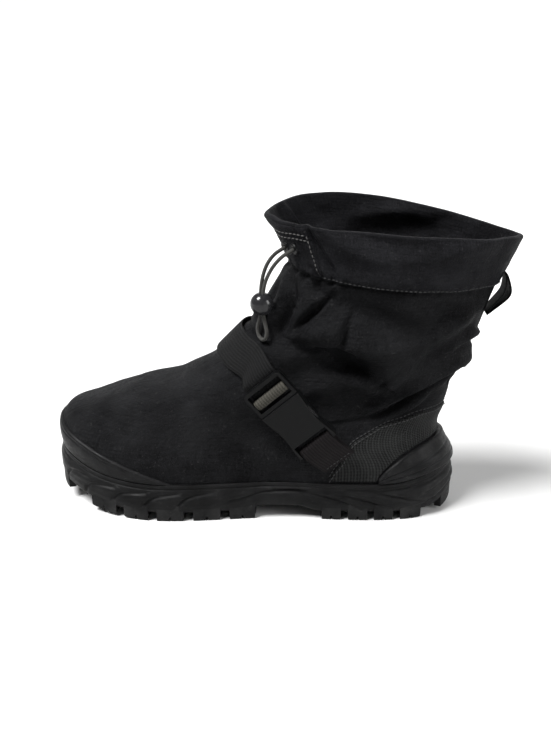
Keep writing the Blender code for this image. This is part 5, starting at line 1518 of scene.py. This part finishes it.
def stitches(path, normals):
    """A row of thread stitches along a path on the surface."""
    path, normals = np.array(path), np.array(normals)
    run = lengths_along(path)
    at = np.arange(STITCH_PITCH / 2, run[-1], STITCH_PITCH)
    centre = np.column_stack([np.interp(at, run, path[:, c]) for c in range(3)])
    out = unit_rows(np.column_stack([np.interp(at, run, normals[:, c]) for c in range(3)]))
    step = 0.3 * STITCH_PITCH
    ahead = unit_rows(np.column_stack([
        np.interp(at + step, run, path[:, c]) - np.interp(at - step, run, path[:, c]) for c in range(3)
    ]))
    aside = np.cross(out, ahead)
    turns = np.linspace(0, 2 * np.pi, 7)[:-1]
    vertices, faces = [], []
    for c, n, a, s in zip(centre, out, ahead, aside):
        start = len(vertices)
        for t, girth in STITCH_SECTION:
            arch = 0.55 - 1.4 * t * t
            for turn in turns:
                off = math.cos(turn) * s + math.sin(turn) * n
                vertices.append(c + a * t * STITCH_LENGTH + (off * girth + n * arch) * STITCH_THICKNESS)
        faces += (grid_faces(len(STITCH_SECTION), len(turns), True) + start).tolist()
    return vertices, faces


def thread_object(name, rows, slot, material):
    vertices, faces = [], []
    for points, sides in rows:
        faces += [[i + len(vertices) for i in side] for side in sides]
        vertices += list(points)
    return hang(mesh_object(name, vertices, faces, material), slot)


# Thread: how far from the seams in level, how far from the flap's edges around, its top rows and its foot
STITCH_INSET = 0.012
FLAP_INSET = 0.006
FLAP_ROWS = (0.978, 0.962)
FLAP_FOOT = 0.02


def make_stitching(edges, placket_out, thread, pale):
    """Thread along the quarter seams, the cuff's hem and the flap."""
    rows = []
    for around, high in edges.values():
        for down, out in ((STITCH_INSET, QUARTER_THICKNESS + CLEARANCE), (-STITCH_INSET, 0.0)):
            level = high - down
            normal = normals_of(upper_folded, around, level)
            rows.append(stitches(soft_points(around, level, out), normal))
    around = np.linspace(0, 1, 600)
    level = np.full(around.shape, CUFF_SEAM_LEVEL + STITCH_INSET)
    rows.append(stitches(soft_points(around, level, CUFF_THICKNESS + CLEARANCE),
                         normals_of(upper_folded, around, level)))
    thread_object("seam_thread", rows, "shaft_fabric", thread)
    rows = []
    reach = PLACKET_WIDTH / SHAFT_GIRTH / 2 - FLAP_INSET
    for level in FLAP_ROWS:
        around = np.linspace(PLACKET_CENTRE - reach, PLACKET_CENTRE + reach, 60)
        levels = np.full(around.shape, level)
        rows.append(stitches(soft_points(around, levels, placket_out),
                             normals_of(upper_folded, around, levels)))
    for place in (-reach, reach):
        levels = np.linspace(FLAP_ROWS[0], CUFF_SEAM_LEVEL + FLAP_FOOT, 60)
        around = np.full(levels.shape, PLACKET_CENTRE + place)
        rows.append(stitches(soft_points(around, levels, placket_out),
                             normals_of(upper_folded, around, levels)))
    thread_object("flap_thread", rows, "shaft_fabric", pale)


def shrink(plan, by):
    """A counter-clockwise plan polygon moved in by a distance."""
    before = unit_rows(plan - np.roll(plan, 1, axis=0))
    after = unit_rows(np.roll(plan, -1, axis=0) - plan)
    first = np.column_stack([-before[:, 1], before[:, 0]])
    second = np.column_stack([-after[:, 1], after[:, 0]])
    share = np.maximum(1 + (first * second).sum(axis=1), 0.5)
    return plan + (first + second) / share[:, None] * by


# A lug's section from its root to its face: how far each ring lies in from its plan, and its height over the face
LUG_SECTION = ((-0.0003, None), (0.0, 0.0011), (0.0001, 0.0005), (0.0004, 0.00012), (0.0009, 0.0))


def lug(plan, high, rise=0.0):
    """A tread block with drafted sides and a rounded face. high gives the height of its root."""
    plan = np.array(plan)
    turn = np.roll(plan, -1, axis=0)
    if (plan[:, 0] * turn[:, 1] - plan[:, 1] * turn[:, 0]).sum() < 0:
        plan = plan[::-1]
    rings = []
    for inset, lift in LUG_SECTION:
        ring = shrink(plan, inset)
        share = station(ring[:, 0])
        z = high(share) if lift is None else tread_height(share) + rise + lift
        rings.append(np.column_stack([ring, z]))
    count = len(plan)
    faces = grid_faces(len(rings), count, True)[:, ::-1].tolist()
    faces.append([(len(rings) - 1) * count + j for j in range(count)][::-1])
    return np.concatenate(rings).tolist(), faces


def root_height(share):
    return base_height(share) + RIB_SET_UP


def side_root_height(share):
    return base_height(share) + LUG_REACH


# An edge block's grooves: where one parts it across, on the medial and on the lateral side, that groove's half
# width as a share of the block, the other groove's half width, and the height over the face of the foot below
CUT_MEDIAL, CUT_LATERAL = 0.32, 0.50
CUT_HALF = 0.040
GROOVE_HALF = 0.0008
FOOT_LIFT = 0.0026


def split_block(side, along, length, inner):
    """One edge block: a shallow foot and four lugs parted by narrow grooves."""
    cut = CUT_MEDIAL if side > 0 else CUT_LATERAL
    groove = GROOVE_HALF / (length * SOLE_LENGTH)
    inner_y = inner * HALF_BALL

    def place(p, q):
        share = along + (p - 0.5) * length
        edge = edge_at(share, side, LUG_SET_IN)
        return [edge[0], inner_y + (edge[1] - inner_y) * q]

    def patch(p0, p1, q0, q1):
        return [place(p0, q0), place(p1, q0)] + [place(p, q1) for p in np.linspace(p1, p0, 4)]

    parts = [lug(patch(0.0, 1.0, 0.0, 1.0), side_root_height, FOOT_LIFT)]
    for p0, p1 in ((0.0, 0.5 - groove), (0.5 + groove, 1.0)):
        parts.append(lug(patch(p0, p1, 0.0, cut - CUT_HALF), root_height))
        parts.append(lug(patch(p0, p1, cut + CUT_HALF, 1.0), side_root_height))
    return parts


# A rib's section: places across as shares of its width, and heights over its face
RIB_SECTION = ((-0.56, None), (-0.5, 0.0010), (-0.42, 0.0002), (-0.28, 0.0),
               (0.28, 0.0), (0.42, 0.0002), (0.5, 0.0010), (0.56, None))


def swept_rib(centre, width, low, high):
    """A rib along a plan line with rounded lower edges."""
    run = np.gradient(centre, axis=0)
    side = unit_rows(np.column_stack([-run[:, 1], run[:, 0]]))
    share = station(centre[:, 0])
    lines = []
    for across, lift in RIB_SECTION:
        z = high(share) if lift is None else low(share) + lift
        lines.append(np.column_stack([centre + side * width * across, z]))
    grid = np.stack(lines, axis=1)
    faces = grid_faces(len(centre), len(lines)).tolist()
    last = len(lines) * (len(centre) - 1)
    faces += [list(range(len(lines))), [last + j for j in range(len(lines))][::-1]]
    return grid.reshape(-1, 3).tolist(), faces


# The curved bars of toe and heel: how far each one's outer and inner edge lie in from the sole's outline
END_BARS = ((LUG_SET_IN, 0.0066), (0.0080, 0.0128), (0.0142, 0.0186))


def end_strips(low, high):
    """Curved bars which follow the toe's or the heel's outline, one inside the other."""
    parts = []
    chord = station(sole_outline(np.array([low, high]))[:, 0]).mean()
    outwards = 1 if chord > 0.5 else -1
    for outer, inner in END_BARS:
        around = np.linspace(low, high, 40)
        near = sole_outline(around, np.full(around.shape, -outer))
        far = sole_outline(around, np.full(around.shape, -inner))
        keep = (station(far[:, 0]) - chord) * outwards > 0.002
        if keep.sum() > 5:
            plan = np.concatenate([near[keep], far[keep][::-1]])
            parts.append(lug(plan, side_root_height if outer == LUG_SET_IN else root_height))
    return parts


# A bare plate's raised ring: shares of the plate's radius, and how far each line of it lies below the waist
RING_SECTION = ((1.14, -0.0004), (1.08, 0.0008), (1.0, 0.0010), (0.94, 0.0008), (0.88, 0.0002),
                (0.4, 0.0003), (0.02, 0.0003))


def low_ring(middle, size, tilt):
    """A raised oval line round a stippled plate on the waist."""
    turns = np.linspace(0, 2 * np.pi, 72, endpoint=False)
    oval = np.column_stack([np.cos(turns) * size[0], np.sin(turns) * size[1]])
    lean = np.array([[math.cos(tilt), math.sin(tilt)], [-math.sin(tilt), math.cos(tilt)]])
    rings = []
    for share, depth in RING_SECTION:
        ring = (oval * share) @ lean + middle
        rings.append(np.column_stack([ring, base_height(station(ring[:, 0])) - depth]))
    return np.concatenate(rings).tolist(), grid_faces(len(rings), len(turns), True)[:, ::-1].tolist()


# Rows of tack stitches from a strap's sewn end, and the release tabs of the buckle
TACK_STEPS = (0.0022, 0.0092)
TAB_LENGTH = 0.0150
TAB_HALF_HEIGHT = 0.0029
TAB_REACH = 0.0021
TAB_PLACE = 0.58


def make_buckle_tabs(origin, axes, material):
    """The prongs' release tabs, which stand out at the body's waist with fine grip ridges."""
    for name, side in (("buckle_tab_a", -1), ("buckle_tab_b", 1)):
        middle = TAB_PLACE * BODY_LENGTH
        waist = BUCKLE_WIDTH / 2 - BUCKLE_WAIST * math.sin(math.pi * TAB_PLACE) ** 2
        steps = np.linspace(-0.998, 0.998, 61)
        rows = []
        for t in steps:
            swell = math.sqrt(1 - t**4) * (1 + 0.10 * math.cos(2 * math.pi * 4.5 * t) * (1 - t * t))
            angles = np.linspace(-math.pi / 2, math.pi / 2, 15)
            y = side * (waist - 0.0006 + TAB_REACH * swell * np.cos(angles))
            z = BUCKLE_THICKNESS / 2 + TAB_HALF_HEIGHT * swell * np.sin(angles)
            rows.append(np.column_stack([np.full(15, middle + t * TAB_LENGTH / 2), y, z]))
        grid = to_world(np.array(rows), origin, axes)
        girth = np.linspace(0, 0.006, 15)[None, :]
        flat = np.stack(np.broadcast_arrays(steps[:, None] * TAB_LENGTH, girth), -1)
        if side < 0:
            grid, flat = grid[:, ::-1], flat[:, ::-1]
        hang(grid_object(name, grid, flat, material), "buckle_plastic")


# Raised lines of the waist: places along and across as shares of the length and of half the ball width
WAIST_LINES = (
    ((0.300, 0.60), (0.312, 0.34), (0.344, 0.28), (0.372, 0.56)),
    ((0.316, 0.60), (0.324, 0.44), (0.340, 0.40), (0.356, 0.58)),
    ((0.392, -0.66), (0.418, -0.44), (0.452, -0.40), (0.474, -0.58)),
    ((0.408, -0.68), (0.426, -0.54), (0.446, -0.51), (0.458, -0.62)),
)
WAIST_LINE_WIDTH = 0.0016
# The large wedge-shaped lug at the toe's end of the rib's loop
WEDGE = ((0.828, -0.34), (0.886, -0.18), (0.850, 0.06), (0.838, -0.10))
# Bare plates of the waist: place along and across, half length and half width in metres, and turn
WAIST_PLATES = (
    (0.417, 0.30, 0.0138, 0.0078, 0.12),
    (0.505, -0.36, 0.0046, 0.0046, 0.0),
)


def make_tread():
    parts = []
    along, across = column(RIB_LINE, "along"), column(RIB_LINE, "across")
    plan = np.column_stack([along_x(along), across * HALF_BALL])
    run = lengths_along(plan)
    at = np.linspace(0, run[-1], 160)
    centre = np.column_stack([smooth_lookup(run, plan[:, 0], at), smooth_lookup(run, plan[:, 1], at)])
    parts.append(swept_rib(centre, RIB_WIDTH, tread_height, root_height))
    for row in EDGE_BLOCKS[1:]:
        parts += split_block(*row)
    for along, apex, medial, lateral, sweep in CHEVRONS[1:]:
        for end, side in ((medial, 1), (lateral, -1)):
            near = apex + side * CHEVRON_HALF_GAP
            lean = sweep * abs(end - near) / CHEVRON_REACH
            front, back = along + CHEVRON_LENGTH / 2, along - CHEVRON_LENGTH / 2
            corners = ((front, near), (front - lean, end), (back - lean, end), (back, near))
            parts.append(lug([[along_x(s), y * HALF_BALL] for s, y in corners], root_height))
    parts.append(lug([[along_x(s), y * HALF_BALL] for s, y in WEDGE], root_height))
    for low, high in PAD_ENDS:
        parts += end_strips(low, high)
    for along, across, length, width, turn in WAIST_PLATES:
        parts.append(low_ring((along_x(along), across * HALF_BALL), (length, width), turn))
    for line in WAIST_LINES:
        places = np.array(line)
        plan = np.column_stack([along_x(places[:, 0]), places[:, 1] * HALF_BALL])
        run = lengths_along(plan)
        at = np.linspace(0, run[-1], 40)
        centre = np.column_stack([np.interp(at, run, plan[:, 0]), np.interp(at, run, plan[:, 1])])
        parts.append(swept_rib(centre, WAIST_LINE_WIDTH, lambda s: base_height(s) - RIB_SET_UP, root_height))
    vertices, faces = [], []
    for points, sides in parts:
        faces += [[i + len(vertices) for i in side] for side in sides]
        vertices += points
    return vertices, faces


def make_sole(rubber, tread_rubber):
    """Side wall with its flow grooves, the rim's lip, the plate between the lugs, and the tread."""
    around = np.linspace(0, 1, 760, endpoint=False)
    ups = np.linspace(0, 1, 44)
    push = np.zeros((len(ups), len(around)))
    turn, up = np.broadcast_arrays(around[None, :], ups[:, None])
    flows = [(1.0, ((end + 0.5 * FLOW_REACH, FLOW_TOP),
                    (end - 0.1 * FLOW_REACH, 0.62), (end - 0.45 * FLOW_REACH, 0.40),
                    (end - 0.6 * FLOW_REACH, 0.12))) for end in FLOW_ENDS]
    for depth, places in WALL_GROOVES + tuple(flows):
        off, share = beside(turn, up, way_points(places, 20), SOLE_GIRTH, WALL_HEIGHT)
        fade = 0.4 + 0.6 * np.sin(np.pi * share)
        push -= GROOVE_DEPTH * depth * bell(off, 0.0, GROOVE_WIDTH) * fade
        push += 0.25 * GROOVE_DEPTH * bell(off, 2.4 * GROOVE_WIDTH, 1.6 * GROOVE_WIDTH)
    push -= 0.55 * GROOVE_DEPTH * bell((ups[:, None] - TOP_GROOVE) * WALL_HEIGHT, 0.0, 0.6 * GROOVE_WIDTH)
    wall = np.array([side_wall(around, u) for u in ups])
    out = sole_outline(around, np.full(around.shape, 0.001)) - sole_outline(around, np.zeros(around.shape))
    wall[..., :2] += out / 0.001 * push[..., None]
    rim = wall[-1]
    level = level_at_height(around, rim[:, 2])
    seat = upper_points(around, level, 0.0001)
    lip = rim + (seat - rim) * 0.25 + (0, 0, 0.0003)
    under = upper_points(around, level * 0.94, -0.0006)
    base = wall[0]
    plates = []
    for share in np.linspace(0.0, 1.0, 26)[:-1]:
        ring = base.copy()
        ring[:, 1] = base[:, 1] * share
        plates.append(ring)
    grid = np.concatenate([np.array(plates), wall, np.array([lip, seat, under])])
    flat = flat_places(around, grid, True)
    sole = grid_object("sole_wall", grid, flat, rubber, True, math.radians(50))
    hang(sole, "outsole_rubber", "outsole")
    vertices, faces = make_tread()
    hang(mesh_object("sole_tread", vertices, faces, tread_rubber, angle=math.radians(32)), "outsole_rubber")


# Softened edges of the solids that stay
WELD_GAP = 0.00002
BEVEL_ANGLE = math.radians(40)


def dress_node(name, material, bevel):
    """A finished material, and softened edges, for a solid that stays."""
    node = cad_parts[name]
    node.data.materials.clear()
    node.data.materials.append(material)
    weld = node.modifiers.new("weld", "WELD")
    weld.merge_threshold = WELD_GAP
    round_off = node.modifiers.new("round", "BEVEL")
    round_off.width = bevel
    round_off.segments = 3
    round_off.limit_method = "ANGLE"
    round_off.angle_limit = BEVEL_ANGLE
    round_off.harden_normals = False


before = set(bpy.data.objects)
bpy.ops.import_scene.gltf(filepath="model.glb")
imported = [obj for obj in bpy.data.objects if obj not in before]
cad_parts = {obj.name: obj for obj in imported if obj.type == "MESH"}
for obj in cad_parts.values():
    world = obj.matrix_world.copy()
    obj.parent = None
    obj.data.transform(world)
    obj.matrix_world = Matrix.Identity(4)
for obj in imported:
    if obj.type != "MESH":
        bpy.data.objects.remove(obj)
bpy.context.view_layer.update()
COVERED = covered_ways()
make_camera()
ball_plastic = plastic_look("lock_gloss", (0.011, 0.011, 0.012), 0.20, 0.00001, coat=0.35)
make_drawcord(braid_look("cord_braid"), ball_plastic)
make_studio()
cloth = woven_look("shaft_cloth", (0.0008, 0.0008, 0.0010), (0.0155, 0.0157, 0.0168), 0.0009, dust=0.30)
cuff_cloth = woven_look("cuff_cloth", (0.0010, 0.0010, 0.0013), (0.0165, 0.0166, 0.0186), 0.0009, dust=0.22)
lining = lining_look("lining_nap")
wall_rubber = rubber_look("sole_rubber", (0.0030, 0.0030, 0.0031), (0.0085, 0.0085, 0.0088), 0.44, 0.42)
tread_rubber = rubber_look("tread_rubber", (0.0058, 0.0058, 0.0060), (0.0185, 0.0185, 0.0185), 0.56, 0.70)
cap_rubber = rubber_look("cap_rubber_look", (0.0030, 0.0030, 0.0032), (0.0092, 0.0092, 0.0096), 0.44, 0.50)
buckle = plastic_look("buckle_look", (0.0020, 0.0021, 0.0022), 0.36, 0.00003)
thread = thread_look("dark_thread", (0.012, 0.012, 0.0125), (0.034, 0.034, 0.035))
pale_thread = thread_look("flap_thread_look", (0.030, 0.030, 0.030), (0.078, 0.076, 0.073))
make_upper(cloth, lining)
make_cuff(cuff_cloth)
flap_out = make_placket(cuff_cloth)
make_moulded_caps(cap_rubber)
panel_edges = make_quarters(mesh_look("coated_mesh_look"))
make_stitching(panel_edges, flap_out, thread, pale_thread)
make_sole(wall_rubber, tread_rubber)
cloud = surface_cloud()
buckle_origin, buckle_axes = buckle_frame_axes(cloud)
lower_webbing = webbing_look("tail_webbing", (0.0028, 0.0023, 0.0025), (0.0105, 0.0088, 0.0093))
upper_webbing = webbing_look("strap_webbing", (0.0022, 0.0022, 0.0023), (0.0085, 0.0085, 0.0088), 0.0165)
loop_webbing = webbing_look("loop_webbing", (0.0022, 0.0022, 0.0023), (0.0085, 0.0085, 0.0088))
make_straps(cloud, buckle_origin, buckle_axes, lower_webbing, upper_webbing, loop_webbing, thread)
make_buckle_tabs(buckle_origin, buckle_axes, buckle)
dress_node("buckle_body", buckle, 0.0006)
dress_node("buckle_frame", buckle, 0.0005)
dress_node("eyelet_a", buckle, 0.0003)
dress_node("eyelet_b", buckle, 0.0003)
dress_node("insole", lining, 0.0012)
